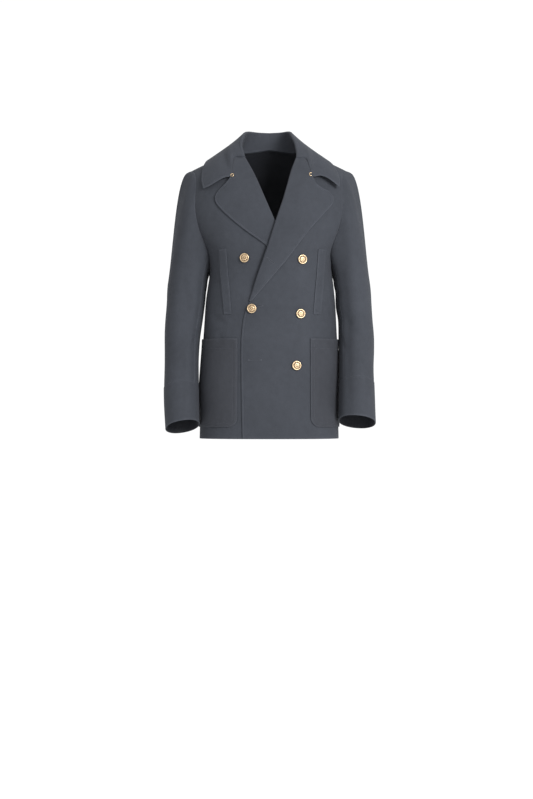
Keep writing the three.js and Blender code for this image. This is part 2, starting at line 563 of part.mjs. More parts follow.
function sleeve(side, arms) {
  const word = side > 0 ? 'left' : 'right';
  // the armhole from the armpit up the front to the shoulder and down the back
  const hole = [...arms.front, ...arms.back.slice(0, -1).reverse()].slice(0, -1);
  const n = hole.length, tip = arms.front.length - 1;
  const len = [0];
  hole.forEach((h, k) => len.push(len[k] + h.p.distanceTo(hole[(k + 1) % n].p)));
  const round = hole.map((_, k) => (k <= tip ? Math.PI * len[k] / len[tip]
    : Math.PI * (1 + (len[k] - len[tip]) / (len[n] - len[tip]))));
  const top = -345, headRows = 8, armRows = 11;
  const place = (i) => mix(top, CUFF_TOP[word], i / armRows);
  const rings = [];
  for (let i = 0; i <= headRows; i++) {
    const s = i / headRows;
    rings.push(hole.map((h, k) => {
      const b = ringPoint(side, top, round[k]), high = ease(1 - Math.abs(round[k] / Math.PI - 1));
      const low = 1 - high, frontish = Math.sin(round[k]);
      const lead = V(side * mix(0.25, 1, Math.min(1, high * 1.6)),
        mix(-0.2, 0.25, ease((high - 0.45) / 0.4)) * frontish, mix(-1, 0.06, high));
      const reach = h.p.distanceTo(b) * mix(0.34, 0.75, low);
      const m0 = lead.normalize().multiplyScalar(reach);
      const m1 = V(side * 0.16 * high, 0, -1).normalize().multiplyScalar(h.p.distanceTo(b) * 0.95);
      const s2 = s * s, s3 = s2 * s;
      return h.p.clone().multiplyScalar(2 * s3 - 3 * s2 + 1).addScaledVector(m0, s3 - 2 * s2 + s)
        .addScaledVector(b, 3 * s2 - 2 * s3).addScaledVector(m1, s3 - s2);
    }));
  }
  for (let i = 1; i <= armRows; i++) rings.push(round.map((a) => ringPoint(side, place(i), a)));
  const out = grain(rings, true, side > 0 ? -1 : 1);
  // at the armhole the sleeve starts a gap away from the panel's edge
  hole.forEach((h, k) => {
    const leave = rings[1][k].clone().sub(rings[0][k]).normalize();
    const inPlane = h.p.clone().sub(h.q).normalize();
    const e = leave.clone().add(inPlane).addScaledVector(h.n, 0.7).normalize();
    rings[0][k].addScaledVector(e, GAP * 1.6);
    if (leave.dot(h.n) < 0) out[0][k].copy(h.n);
  });
  const cut = (from, to) => {
    const pick = [];
    for (let k = from; k <= to; k++) pick.push((k + n) % n);
    const face = rings.map((r) => pick.map((k) => r[k].clone()));
    const dir = out.map((r) => pick.map((k) => r[k]));
    pull(face, 'left', GAP / 2);
    pull(face, 'right', GAP / 2);
    pull(face, 'last', GAP / 2);
    return [face, dir];
  };
  const near = (deg) => round.reduce((b, a, k) => (Math.abs(a - rad(deg)) < Math.abs(round[b] - rad(deg)) ? k : b), 0);
  const f = near(SEAM_FRONT), b = near(SEAM_BACK);
  wall(`sleeve_top_${word}`, ...cut(f, b), CLOTH);
  wall(`sleeve_under_${word}`, ...cut(b - n, f), CLOTH);
  // the cuff is a closed band, a little wider than the sleeve
  const band = steps(3, (s) => round.map((a) => ringPoint(side, mix(CUFF_TOP[word], CUFF_END[word], s), a)));
  const bandOut = grain(band, true, side > 0 ? -1 : 1);
  band.forEach((r, i) => r.forEach((p, k) => p.addScaledVector(bandOut[i][k], 0.9 * Math.min(1, i))));
  pull(band, 'first', GAP / 2);
  wall(`cuff_${word}`, band, bandOut, CLOTH, { ring: true });
}

// A patch pocket, from its inner edge round towards the side
function pocket(side) {
  const word = side > 0 ? 'left' : 'right', face = [], out = [];
  const tall = POCKET.top - POCKET.bottom, r = POCKET.corner;
  const ups = [0, 2, 6, 13, 25, 55, 90, 125, 160, 192, tall];
  for (const up of ups) {
    const z = POCKET.bottom + up, row = [], dir = [];
    const cut = up < r ? r - Math.sqrt(r * r - (r - up) ** 2) : 0;
    const start = onFront(POCKET[word], z), far = side * rad(150);
    const line = steps(160, (s) => mix(start.angle, far, s)), len = [0];
    line.slice(1).forEach((a, k) => len.push(len[k] + bare(a, start.along).distanceTo(bare(line[k], start.along))));
    for (let j = 0; j <= 9; j++) {
      const want = mix(cut, POCKET.wide - cut, j / 9);
      let k = 0;
      while (k < 159 && len[k + 1] < want) k++;
      const a = mix(line[k], line[k + 1], (want - len[k]) / (len[k + 1] - len[k]));
      const p = bare(a, start.along);
      row.push(skin(a, start.along, 1.2 + TRIM + (side > 0 ? over(p.x, p.z) : 0)));
      dir.push(outward(a, start.along));
    }
    face.push(row);
    out.push(dir);
  }
  wall(`pocket_${word}`, face, out, TRIM);
}

function welt(side) {
  const word = side > 0 ? 'left' : 'right', [top, low] = WELT_AT[word], face = [], out = [];
  for (const s of steps(7, (v) => v)) {
    const z = mix(WELT.bottom, WELT.top, s), x = mix(low, top, s);
    const cells = [-1, 0, 1].map((k) => chest(side, x + k * WELT.wide / 2, z, 0.8 + TRIM));
    face.push(cells.map((c) => c.p));
    out.push(cells.map((c) => c.n));
  }
  wall(`welt_${word}`, face, out, TRIM);
}

// A shank button: a shallow dome with a raised rim, turned round its own axis
function button(name, x, z) {
  const side = name.endsWith('top_left') ? -1 : 1, c = chest(side, x, z, 0.25);
  const R = BUTTON.radius, h = BUTTON.height, t = BUTTON.thick, n = 18;
  const profile = [[BUTTON.shank, 0], [BUTTON.shank, h - 1], [R - 1, h], [R, h + 1], [R - 0.3, h + 2.2],
    [R - 1.8, h + 2.7], [R - 3, h + 2.3], [R * 0.45, h + t - 2.2]];
  const u = V(0, 0, 1).cross(c.n).normalize(), v = c.n.clone().cross(u);
  const pos = [], tri = [];
  const put = (r, y, a) => {
    const p = c.p.clone().addScaledVector(c.n, y).addScaledVector(u, r * Math.cos(a)).addScaledVector(v, r * Math.sin(a));
    pos.push(p.x, p.y, p.z);
  };
  for (const [r, y] of profile) for (let k = 0; k < n; k++) put(r, y, (2 * Math.PI * k) / n);
  put(0, 0, 0);
  put(0, h + t - 1.8, 0);
  const rows = profile.length, end = rows * n;
  for (let k = 0; k < n; k++) {
    const m = (k + 1) % n;
    for (let i = 0; i < rows - 1; i++) {
      tri.push(i * n + k, i * n + m, (i + 1) * n + m, i * n + k, (i + 1) * n + m, (i + 1) * n + k);
    }
    tri.push(end, m, k, end + 1, (rows - 1) * n + k, (rows - 1) * n + m);
  }
  solid(name, pos, tri, 'brass');
}

// A bent wire along points in the plane of a patch of cloth
function wire(name, side, x, z, lift, line) {
  const c = chest(side, x, z, lift), n = c.n;
  const u = V(1, 0, 0).addScaledVector(n, -n.x).normalize(), v = n.clone().cross(u).normalize();
  const path = line.map(([a, b]) => c.p.clone().addScaledVector(u, a).addScaledVector(v, b));
  const pos = [], tri = [], k = 7;
  path.forEach((p, i) => {
    const t = path[Math.min(i + 1, path.length - 1)].clone().sub(path[Math.max(i - 1, 0)]).normalize();
    const w = t.clone().cross(n).normalize();
    for (let j = 0; j < k; j++) {
      const a = (2 * Math.PI * j) / k;
      const q = p.clone().addScaledVector(w, WIRE * Math.cos(a)).addScaledVector(n, WIRE * Math.sin(a));
      pos.push(q.x, q.y, q.z);
    }
  });
  for (let i = 0; i < path.length - 1; i++) {
    for (let j = 0; j < k; j++) {
      const m = (j + 1) % k;
      tri.push(i * k + j, i * k + m, (i + 1) * k + m, i * k + j, (i + 1) * k + m, (i + 1) * k + j);
    }
  }
  const end = (path.length - 1) * k;
  for (let j = 1; j < k - 1; j++) tri.push(0, j + 1, j, end, end + j, end + j + 1);
  solid(name, pos, tri, 'brass');
}

const leftFront = front(1), rightFront = front(-1), backPanel = back();
lapel(1, leftFront.roll);
lapel(-1, rightFront.roll);
collar(backPanel.rim, { left: leftFront.roll, right: rightFront.roll });
sleeve(1, { front: leftFront.arm, back: backPanel.arm[1] });
sleeve(-1, { front: rightFront.arm, back: backPanel.arm[-1] });
for (const side of [1, -1]) {
  pocket(side);
  welt(side);
}
for (const [name, x, z] of BUTTONS) button(name, x, z);
const arc = (r, from, to, n) => steps(n, (s) => [r * Math.cos(rad(mix(from, to, s))), r * Math.sin(rad(mix(from, to, s)))]);
wire('collar_eye', -1, -90, -80, SEAT, arc(3.6, -80, 250, 12));
wire('collar_hook', 1, 101.5, -79, SEAT, arc(4, 60, 290, 9));

export default group;
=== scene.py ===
# %% [markdown]
# # A pea coat, worn and empty
# The coat is cut from flat cloth and sewn, so each piece here is one piece of cloth. Its shape is worked
# out from a few tables of sizes, in millimetres, and turned into a mesh in metres. The imported model is
# loaded first.

# %% Load the imported model
import math
import bmesh
import bpy
import numpy as np
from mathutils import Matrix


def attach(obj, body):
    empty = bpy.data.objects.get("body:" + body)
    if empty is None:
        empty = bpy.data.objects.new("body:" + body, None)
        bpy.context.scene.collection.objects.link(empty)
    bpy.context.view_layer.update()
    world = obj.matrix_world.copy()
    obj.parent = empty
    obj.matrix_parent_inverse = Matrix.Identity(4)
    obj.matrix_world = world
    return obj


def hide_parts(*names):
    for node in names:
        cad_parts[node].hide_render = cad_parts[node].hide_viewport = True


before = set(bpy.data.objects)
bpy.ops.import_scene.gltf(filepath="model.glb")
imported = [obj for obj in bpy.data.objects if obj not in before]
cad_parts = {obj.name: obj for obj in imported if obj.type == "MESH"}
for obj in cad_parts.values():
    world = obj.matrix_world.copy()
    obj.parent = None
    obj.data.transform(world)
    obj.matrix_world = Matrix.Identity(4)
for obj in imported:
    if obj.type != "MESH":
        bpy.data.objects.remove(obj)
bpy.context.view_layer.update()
print("packed nodes:", len(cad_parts))

# %% [markdown]
# ## Sizes and small helpers
# A table has named columns. Between its rows it is read along a smooth curve, so a few rows give a soft
# shape. ease() is a step with soft ends, and bump() is the soft rise of a fold beside its line.

# %% Helpers
CLOTH, TRIM, GAP, FOLD, OVERLAP = 2.2, 1.6, 0.3, 1.4, 3.5
ROUND, SLOPE, SIDE_Y = 2.45, 1.3, 4.0
TURNED = 2 * FOLD + CLOTH
STITCH_IN = 4.2


def table(rows):
    grid = np.array(rows, float)
    if grid[0, 0] > grid[-1, 0]:
        grid = grid[::-1]
    key, val = grid[:, 0], grid[:, 1:]
    n = len(key)
    lo, hi = np.maximum(np.arange(n) - 1, 0), np.minimum(np.arange(n) + 1, n - 1)
    slope = (val[hi] - val[lo]) / (key[hi] - key[lo])[:, None]

    def read(u):
        v = np.clip(np.asarray(u, float), key[0], key[-1])
        k = np.clip(np.searchsorted(key, v, "right") - 1, 0, n - 2)
        w = key[k + 1] - key[k]
        s = ((v - key[k]) / w)[..., None]
        w = w[..., None]
        out = ((2 * s**3 - 3 * s**2 + 1) * val[k] + (s**3 - 2 * s**2 + s) * w * slope[k]
               + (3 * s**2 - 2 * s**3) * val[k + 1] + (s**3 - s**2) * w * slope[k + 1])
        return np.moveaxis(out, -1, 0)

    return read


def ease(s):
    s = np.clip(s, 0, 1)
    return s * s * (3 - 2 * s)


def mix(a, b, s):
    return a + (b - a) * s


def power(v, e):
    return np.sign(v) * np.abs(v) ** e


def vec(x, y, z):
    return np.stack(np.broadcast_arrays(x, y, z), -1).astype(float)


def unit(v):
    return v / np.maximum(np.linalg.norm(v, axis=-1, keepdims=True), 1e-9)


def dot(a, b):
    return np.sum(a * b, -1, keepdims=True)


def bump(dx, dz, ex, ez, wide):
    s = np.clip((dx * ex + dz * ez) / (ex * ex + ez * ez), 0, 1)
    d = np.hypot(dx - s * ex, dz - s * ez)
    return np.exp(-((d / wide) ** 2)) * np.sin(np.pi * (0.08 + 0.84 * s)) ** 0.6


# %% [markdown]
# ## The torso
# Fronts and back are cut from one form of rings: height, half width and depth to the front and back.
# A ring is a little squarer than an ellipse. The folds of the fronts are soft ridges and troughs beside
# lines, placed where a worn coat pulls: from the armpit, beside the pocket and at the waist.

# %% The torso form
FORM = table([  # along, height, half width, front, back, drop at the shoulder, shift to the left
    [0, -736, 177, 138, 128, 0, 0], [96, -640, 176.5, 136, 128, 0, 0], [180, -556, 174.5, 133, 120, 0, 1.2],
    [261, -475, 170, 129, 108, 0, 3.5], [348, -388, 163.8, 127, 101, 0, 3.4],
    [400, -336, 158.8, 128, 103, 0, 4],
    [436, -300, 156.5, 129, 108, 0, 3.5], [474, -262, 163, 129, 115, 2, 1], [536, -200, 193, 127, 121, 10, 0],
    [586, -150, 208, 122, 125, 22, 0], [638, -100, 212, 110, 121, 36, 0], [680, -60, 210, 96, 111, 48, 0],
    [713, -30, 208, 82, 99, 58, 0], [742, -8, 206, 64, 82, 67, 0], [769, 8, 206, 42, 59, 74, 0],
    [793, 17, 206, 20, 32, 78, 0], [813, 20, 206, 0, 0, 80, 0]])
ARMPIT, TOP, NECK_X, BACK_NECK, ARM_FRONT, ARM_BACK = 428, 813, 78, 764, 35, 25
SHOULDER = 206
SIDE_HEM, SIDE_TOP = 116, 98
EDGE_LEFT = table([  # height, place across
    [-736, -65], [-638, -67], [-513, -68.5], [-463, -66], [-426, -60], [-394, -47], [-329, -24.5],
    [-264, -2], [-193, 20.5], [-138, 39], [-66, 59], [-36.4, 69.5], [-2.6, 78]])
EDGE_RIGHT = table([
    [-736, 66], [-638, 68], [-513, 69], [-400, 69], [-340, 67], [-312, 61], [-286, 51], [-251, 36.5],
    [-189, 9], [-138, -13], [-76, -40], [-30, -64], [-2.6, -78]])
BREAK = {1: -392, -1: -314}
GORGE = {1: -36.4, -1: -30}
FRONT_FOLDS = [  # from x z, to x z, half width, height
    (-146, -424, -112, -450, 9, -3), (-140, -262, -137, -425, 12, -1.5),
    (150, -262, 142, -430, 13, -2), (-100, -500, -140, -640, 22, 2),
    (-127, -470, -121, -488, 6, -1.6), (-153, -567, -166, -651, 13, 1.8), (-104, -432, -78, -452, 9, -1.1),
    (146, -440, 118, -462, 11, -1.6), (100, -590, 122, -700, 20, 1.4), (-30, -600, -34, -716, 18, 1.2),
    (28, -470, 20, -560, 16, 0.9), (152, -330, 120, -352, 10, -1.2), (-150, -330, -122, -346, 9, -1.2)]
BACK_FOLDS = [
    (-98, -190, -112, -420, 22, -3), (76, -210, 96, -430, 22, -3), (0, -120, 6, -290, 34, 2.2),
    (-36, -335, -126, -405, 15, -2.4), (40, -345, 132, -420, 15, -2.4), (-28, -300, -90, -348, 12, -1.6),
    (-62, -480, -72, -712, 28, 2.6), (60, -470, 74, -712, 28, 2.6), (4, -430, 0, -716, 20, -1.8)]


def creases(x, z, rows):
    return sum(high * bump(x - x0, z - z0, x1 - x0, z1 - z0, wide) for x0, z0, x1, z1, wide, high in rows)


def waver(p):
    x, y, z = p[..., 0], p[..., 1], p[..., 2]
    return (0.5 * np.sin(x / 31 + z / 67 + 1.3) + 0.4 * np.sin(z / 29 - x / 47 + y / 38)
            + 0.22 * np.sin(x / 13 + z / 21 + y / 17 + 0.7))


def bare(angle, along):
    z, half, front, back, drop, shift = FORM(along)
    s, c = np.sin(angle), np.cos(angle)
    x = power(s, 2 / ROUND)
    return vec(shift + half * x, SIDE_Y - np.where(c > 0, front, back) * power(c, 2 / ROUND),
               z - drop * np.abs(x) ** SLOPE)


def slant(angle, along):
    d, lo, hi = 0.012, np.maximum(along - 3, 0), np.minimum(along + 3, TOP)
    return unit(np.cross(bare(angle + d, along) - bare(angle - d, along), bare(angle, hi) - bare(angle, lo)))


def outward(angle, along):
    angle, along = np.broadcast_arrays(np.asarray(angle, float), np.asarray(along, float))
    n = slant(angle, along)
    both = unit(n + slant(np.pi - angle, along))
    top = (along > TOP - 0.5) & (np.abs(np.cos(angle)) > 0.02)
    return np.where(top[..., None], both, n)


def skin(angle, along, off=0.0):
    p, c = bare(angle, along), np.cos(angle)
    f = np.where(c > -0.3, creases(p[..., 0], p[..., 2], FRONT_FOLDS), 0) + waver(p)
    f = f + ease(-c / 0.35) * creases(p[..., 0], p[..., 2], BACK_FOLDS)
    return p + outward(angle, along) * (np.asarray(off) + f * ease((TOP - along) / 80))[..., None]


def angle_of(x, along):
    _, half, _, _, _, shift = FORM(along)
    share_ = (x - shift) / half
    return np.sign(share_) * np.arcsin(np.minimum(np.abs(share_), 1) ** (ROUND / 2))


def height_at(x, along):
    z, half, _, _, drop, shift = FORM(along)
    return z - drop * np.abs((x - shift) / half) ** SLOPE


def on_front(x, z):
    lo, hi = np.zeros(np.broadcast(x, z).shape), np.full(np.broadcast(x, z).shape, float(TOP))
    for _ in range(30):
        m = (lo + hi) / 2
        low = height_at(x, m) < z
        lo, hi = np.where(low, m, lo), np.where(low, hi, m)
    return angle_of(x, lo), lo


def over(x, z):
    flap = OVERLAP * ease((165 - x) / 80)
    lapel = 6.6 * ease((x + 75) / 45) * ease((140 - x) / 60) * ease((z + 382) / 45) * ease((-70 - z) / 70)
    return flap + lapel * ease((120 - x) / 50)


def chest(side, x, z, off):
    x, z = np.broadcast_arrays(np.asarray(x, float), np.asarray(z, float))
    angle, along = on_front(x, z)
    return skin(angle, along, off + (over(x, z) if side > 0 else 0)), outward(angle, along)


# %% [markdown]
# ## Cloth as a mesh
# A piece of cloth is a grid of points on its face. The same grid, moved in by the thickness, is its
# wrong side, and a rounded rim joins the two, so that the piece is closed and its edge catches light.
# The mesh is filled from arrays, which is fast. It gets a UV map in metres for the weave, and two values
# a point: edge, which is 1 at the rim and fades inwards, and inside, which is 1 on the wrong side.

# %% A mesh from arrays
def fill(name, verts, polys, values=()):
    verts = verts / 1000
    counts = np.concatenate([np.full(len(p), p.shape[1], np.int32) for p in polys])
    corners = np.concatenate([p.ravel() for p in polys]).astype(np.int32)
    mesh = bpy.data.meshes.new(name)
    mesh.vertices.add(len(verts))
    mesh.vertices.foreach_set("co", verts.astype(np.float32).ravel())
    mesh.loops.add(len(corners))
    mesh.loops.foreach_set("vertex_index", corners)
    mesh.polygons.add(len(counts))
    mesh.polygons.foreach_set("loop_start", (np.cumsum(counts) - counts).astype(np.int32))
    mesh.polygons.foreach_set("loop_total", counts)
    mesh.polygons.foreach_set("use_smooth", np.ones(len(counts), bool))
    for key, value in values:
        mesh.attributes.new(key, "FLOAT", "POINT").data.foreach_set("value", value.astype(np.float32))
    mesh.update(calc_edges=True)
    obj = bpy.data.objects.new(name, mesh)
    bpy.context.scene.collection.objects.link(obj)
    return obj


# %% Distances and directions on a grid
def lengths(points, axis):
    step = np.linalg.norm(np.diff(points, axis=axis), axis=-1)
    zero = np.zeros_like(np.take(step, [0], axis))
    return np.concatenate([zero, np.cumsum(step, axis)], axis)


def read_off(where, run, values):
    return np.stack([np.interp(where, run, values[:, k]) for k in range(3)], -1)


def off_edge(face, edge):
    run = lengths(face, 1 if edge in ("left", "right") else 0)
    return {"left": run, "right": run[:, -1:] - run, "first": run, "last": run[-1:] - run}[edge]


def grain(face, ring=False, flip=1):
    if ring:
        wide = np.concatenate([face[:, -1:], face, face[:, :1]], 1)
        across = wide[:, 2:] - wide[:, :-2]
    else:
        across = np.gradient(face, axis=1)
    return unit(np.cross(across, np.gradient(face, axis=0))) * flip


# %% [markdown]
# Two things make a coat look sewn. At a seam between two pieces both sink a little, which leaves a soft
# groove. Beside an edge with a row of stitches the thread pulls the cloth in, and the cloth between the
# row and the edge stands up as a low ridge.

# %% Seam grooves and stitched edges
def sink(face, out, edges, deep=0.55, wide=0.9):
    near = np.min([off_edge(face, e) for e in edges], axis=0)
    face -= out * (deep * np.exp(-((near / wide) ** 2)))[..., None]


def quilt(near, at=STITCH_IN, deep=0.42):
    ridge = 0.22 * np.sin(np.pi * np.clip(near / at, 0, 1))
    return (ridge - deep * np.exp(-(((near - at) / 0.85) ** 2)))[..., None]


# %% Cloth from a grid
def cloth(name, face, out, thick=CLOTH, ring=False, bulge=0.8, turns=3, across=None, high=None):
    rows, cols = face.shape[:2]
    thick = np.broadcast_to(np.asarray(thick, float), (rows, cols))[..., None]
    under = face - out * thick
    sides = ["first", "last"] if ring else ["first", "last", "left", "right"]
    edge = np.exp(-np.min([off_edge(face, e) for e in sides], axis=0) / 2.5).ravel()
    u = (lengths(face, 1) if across is None else across) / 1000
    u -= u[:, -1:] / 2 if across is None else 0
    v = (lengths(face, 0) if high is None else np.broadcast_to(high[:, None], (rows, cols))) / 1000
    index = np.arange(rows * cols).reshape(rows, cols)
    verts, uvs = [face.reshape(-1, 3), under.reshape(-1, 3)], [np.stack([u, v], -1).reshape(-1, 2)] * 2
    edges, insides = [edge, edge], [np.zeros(rows * cols), np.ones(rows * cols)]
    quads, count = [], 2 * rows * cols
    grid = np.concatenate([index, index[:, :1]], 1) if ring else index
    a, b, c, d = grid[:-1, :-1], grid[:-1, 1:], grid[1:, 1:], grid[1:, :-1]
    quads.append(np.stack([a, b, c, d], -1).reshape(-1, 4))
    quads.append(quads[0][:, ::-1] + rows * cols)
    if ring:
        loops = [(index[0], unit(face[0] - face[1]), 1), (index[-1], unit(face[-1] - face[-2]), -1)]
    else:
        e = np.zeros_like(face)
        e[0] += unit(face[0] - face[1])
        e[-1] += unit(face[-1] - face[-2])
        e[:, 0] += unit(face[:, 0] - face[:, 1])
        e[:, -1] += unit(face[:, -1] - face[:, -2])
        loop = np.concatenate([index[0, :-1], index[:-1, -1], index[-1, :0:-1], index[:0:-1, 0]])
        loops = [(loop, unit(e.reshape(-1, 3)[loop]), 1)]
    for loop, way, sense in loops:
        p, q, t = face.reshape(-1, 3)[loop], under.reshape(-1, 3)[loop], thick.reshape(-1, 1)[loop]
        rings = [loop]
        for k in range(1, turns + 1):
            a = math.pi * k / (turns + 1)
            verts.append(mix(p, q, (1 - math.cos(a)) / 2) + way * t / 2 * bulge * math.sin(a))
            uvs.append(uvs[0][loop])
            edges.append(np.ones(len(loop)))
            insides.append(np.full(len(loop), 0.0 if 2 * k <= turns + 1 else 0.5))
            rings.append(count + np.arange(len(loop)))
            count += len(loop)
        rings.append(loop + rows * cols)
        for lo, hi in zip(rings, rings[1:]):
            q4 = np.stack([lo, hi, np.roll(hi, -1), np.roll(lo, -1)], -1)
            quads.append(q4 if sense > 0 else q4[:, ::-1])
    verts, quads, uvs = np.concatenate(verts), np.concatenate(quads), np.concatenate(uvs)
    a, b, c, d = (verts[quads[:, k]] for k in range(4))
    if np.sum(a * np.cross(b, c)) + np.sum(a * np.cross(c, d)) < 0:
        quads = quads[:, ::-1]
    obj = fill(name, verts, [quads], [("edge", np.concatenate(edges)), ("inside", np.concatenate(insides))])
    uv = uvs[quads]
    if ring:
        wide = uvs[:, 0].max() - uvs[:, 0].min()
        far = np.ptp(uv[:, :, 0], axis=1) > wide / 2
        uv[:, :, 0] = np.where(far[:, None] & (uv[:, :, 0] < 0), uv[:, :, 0] + wide, uv[:, :, 0])
    obj.data.uv_layers.new(name="cloth").data.foreach_set("uv", uv.astype(np.float32).ravel())
    return obj


# %% [markdown]
# Each piece is placed once: it gets its material and its slot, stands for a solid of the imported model,
# and rides on the coat's one body. Its area, half of the closed shell, is printed beside its name.

# %% Placing a piece
def place(obj, nodes, material):
    obj.data.materials.clear()
    obj.data.materials.append(material)
    if nodes:
        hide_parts(*nodes)
    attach(obj, "root")
    area = sum(p.area for p in obj.data.polygons) / 2
    print(f"{obj.name}: {len(obj.data.polygons)} faces, {area:.4f} m2")
    return obj


# %% [markdown]
# ## The wool, the thread and the brass
# The cloth is a fine, soft, slate blue-grey wool. It is nearly matt, with a short fuzz that catches light
# at a low angle, a very fine slanting weave, and slow changes of tone. Four effects are shader groups:
# the weave, the slow mottling, the wear along edges, and the old dark film on the brass.

# %% Shader helpers
def group(name, inputs, outputs):
    tree = bpy.data.node_groups.new(name, "ShaderNodeTree")
    for label, kind, value in inputs:
        socket = tree.interface.new_socket(label, in_out="INPUT", socket_type=kind)
        if value is not None:
            socket.default_value = value
    for label, kind in outputs:
        tree.interface.new_socket(label, in_out="OUTPUT", socket_type=kind)
    return tree, tree.nodes.new("NodeGroupInput"), tree.nodes.new("NodeGroupOutput")


def wire_in(tree, socket, value):
    if isinstance(value, bpy.types.NodeSocket):
        tree.links.new(value, socket)
    else:
        socket.default_value = value


def math_node(tree, operation, *values):
    node = tree.nodes.new("ShaderNodeMath")
    node.operation = operation
    for socket, value in zip(node.inputs, values):
        wire_in(tree, socket, value)
    return node.outputs[0]


def times(tree, a, b):
    return math_node(tree, "MULTIPLY", a, b)


def plus(tree, a, b):
    return math_node(tree, "ADD", a, b)


def noise(tree, vector, scale, detail=2.0, rough=0.5):
    node = tree.nodes.new("ShaderNodeTexNoise")
    tree.links.new(vector, node.inputs["Vector"])
    for key, value in (("Scale", scale), ("Detail", detail), ("Roughness", rough)):
        wire_in(tree, node.inputs[key], value)
    return node.outputs["Fac"]


def remap(tree, value, low, high, to_low=0.0, to_high=1.0):
    node = tree.nodes.new("ShaderNodeMapRange")
    for socket, v in zip(node.inputs, (value, low, high, to_low, to_high)):
        wire_in(tree, socket, v)
    return node.outputs[0]


def blend(tree, factor, first, second):
    node = tree.nodes.new("ShaderNodeMix")
    node.data_type = "RGBA"
    wire_in(tree, node.inputs["Factor"], factor)
    wire_in(tree, node.inputs[6], first)
    wire_in(tree, node.inputs[7], second)
    return node.outputs[2]


# %% [markdown]
# The weave is two sets of fine lines that cross, with the slanting one stronger as in a twill, under a
# fuzz of noise that softens them. It reads the cloth's own UV map in metres, so a thread is 0.45 mm.

# %% Group: weave
FLOAT, COLOUR, VECTOR = "NodeSocketFloat", "NodeSocketColor", "NodeSocketVector"
THREAD_WIDE = 0.00045
weave, start, end = group(
    "wool_weave", [("Vector", VECTOR, None), ("Thread", FLOAT, THREAD_WIDE), ("Fuzz", FLOAT, 0.5)],
    [("Height", FLOAT), ("Tone", FLOAT)])
axes = weave.nodes.new("ShaderNodeSeparateXYZ")
weave.links.new(start.outputs["Vector"], axes.inputs[0])
turn_ = math_node(weave, "DIVIDE", 6.2832, start.outputs["Thread"])
slope_ = plus(weave, axes.outputs[0], times(weave, axes.outputs[1], 1.3))
twill = math_node(weave, "SINE", times(weave, slope_, times(weave, turn_, 0.55)))
weft = math_node(weave, "SINE", times(weave, axes.outputs[1], turn_))
lines = plus(weave, times(weave, twill, 0.32), times(weave, weft, 0.14))
fuzz = noise(weave, start.outputs["Vector"], 2600.0, 3.0, 0.65)
hairs = noise(weave, start.outputs["Vector"], 620.0, 4.0, 0.6)
soft_ = plus(weave, times(weave, fuzz, start.outputs["Fuzz"]), hairs)
height_ = plus(weave, lines, soft_)
weave.links.new(height_, end.inputs["Height"])
weave.links.new(remap(weave, height_, 0.2, 1.4, 0.86, 1.12), end.inputs["Tone"])

# %% Group: mottling
mottle, start, end = group(
    "cloth_mottle", [("Vector", VECTOR, None), ("Amount", FLOAT, 0.12)], [("Tone", FLOAT)])
slow = noise(mottle, start.outputs["Vector"], 9.0, 2.0)
mid = noise(mottle, start.outputs["Vector"], 70.0, 3.0, 0.6)
fine = noise(mottle, start.outputs["Vector"], 420.0, 2.0, 0.6)
sum_ = plus(mottle, times(mottle, slow, 0.9), times(mottle, mid, 0.7))
sum_ = plus(mottle, sum_, times(mottle, fine, 0.4))
off_mean = math_node(mottle, "SUBTRACT", sum_, 1.0)
tone_ = plus(mottle, 1.0, times(mottle, off_mean, start.outputs["Amount"]))
mottle.links.new(tone_, end.inputs["Tone"])

# %% Group: wear along edges
wear, start, end = group(
    "edge_wear", [("Vector", VECTOR, None), ("Edge", FLOAT, 0.0), ("Amount", FLOAT, 0.3)], [("Mask", FLOAT)])
broken = remap(wear, noise(wear, start.outputs["Vector"], 150.0, 3.0, 0.6), 0.35, 0.65, 0.45, 1.0)
rubbed = times(wear, math_node(wear, "POWER", start.outputs["Edge"], 1.6), start.outputs["Amount"])
wear.links.new(times(wear, rubbed, broken), end.inputs["Mask"])

# %% [markdown]
# A wool material reads the weave by the UV map and the mottling in the object's own space. The edges are
# rubbed a little lighter, and the wrong side is a plain dark lining, smoother than the wool.

# %% Wool
def use(tree, shared, **values):
    node = tree.nodes.new("ShaderNodeGroup")
    node.node_tree = shared
    for key, value in values.items():
        wire_in(tree, node.inputs[key], value)
    return node.outputs


def value_of(tree, name):
    node = tree.nodes.new("ShaderNodeAttribute")
    node.attribute_name = name
    return node.outputs["Fac"]


def material(name):
    made = bpy.data.materials.new(name)
    made.use_nodes = True
    return made, made.node_tree, made.node_tree.nodes["Principled BSDF"]


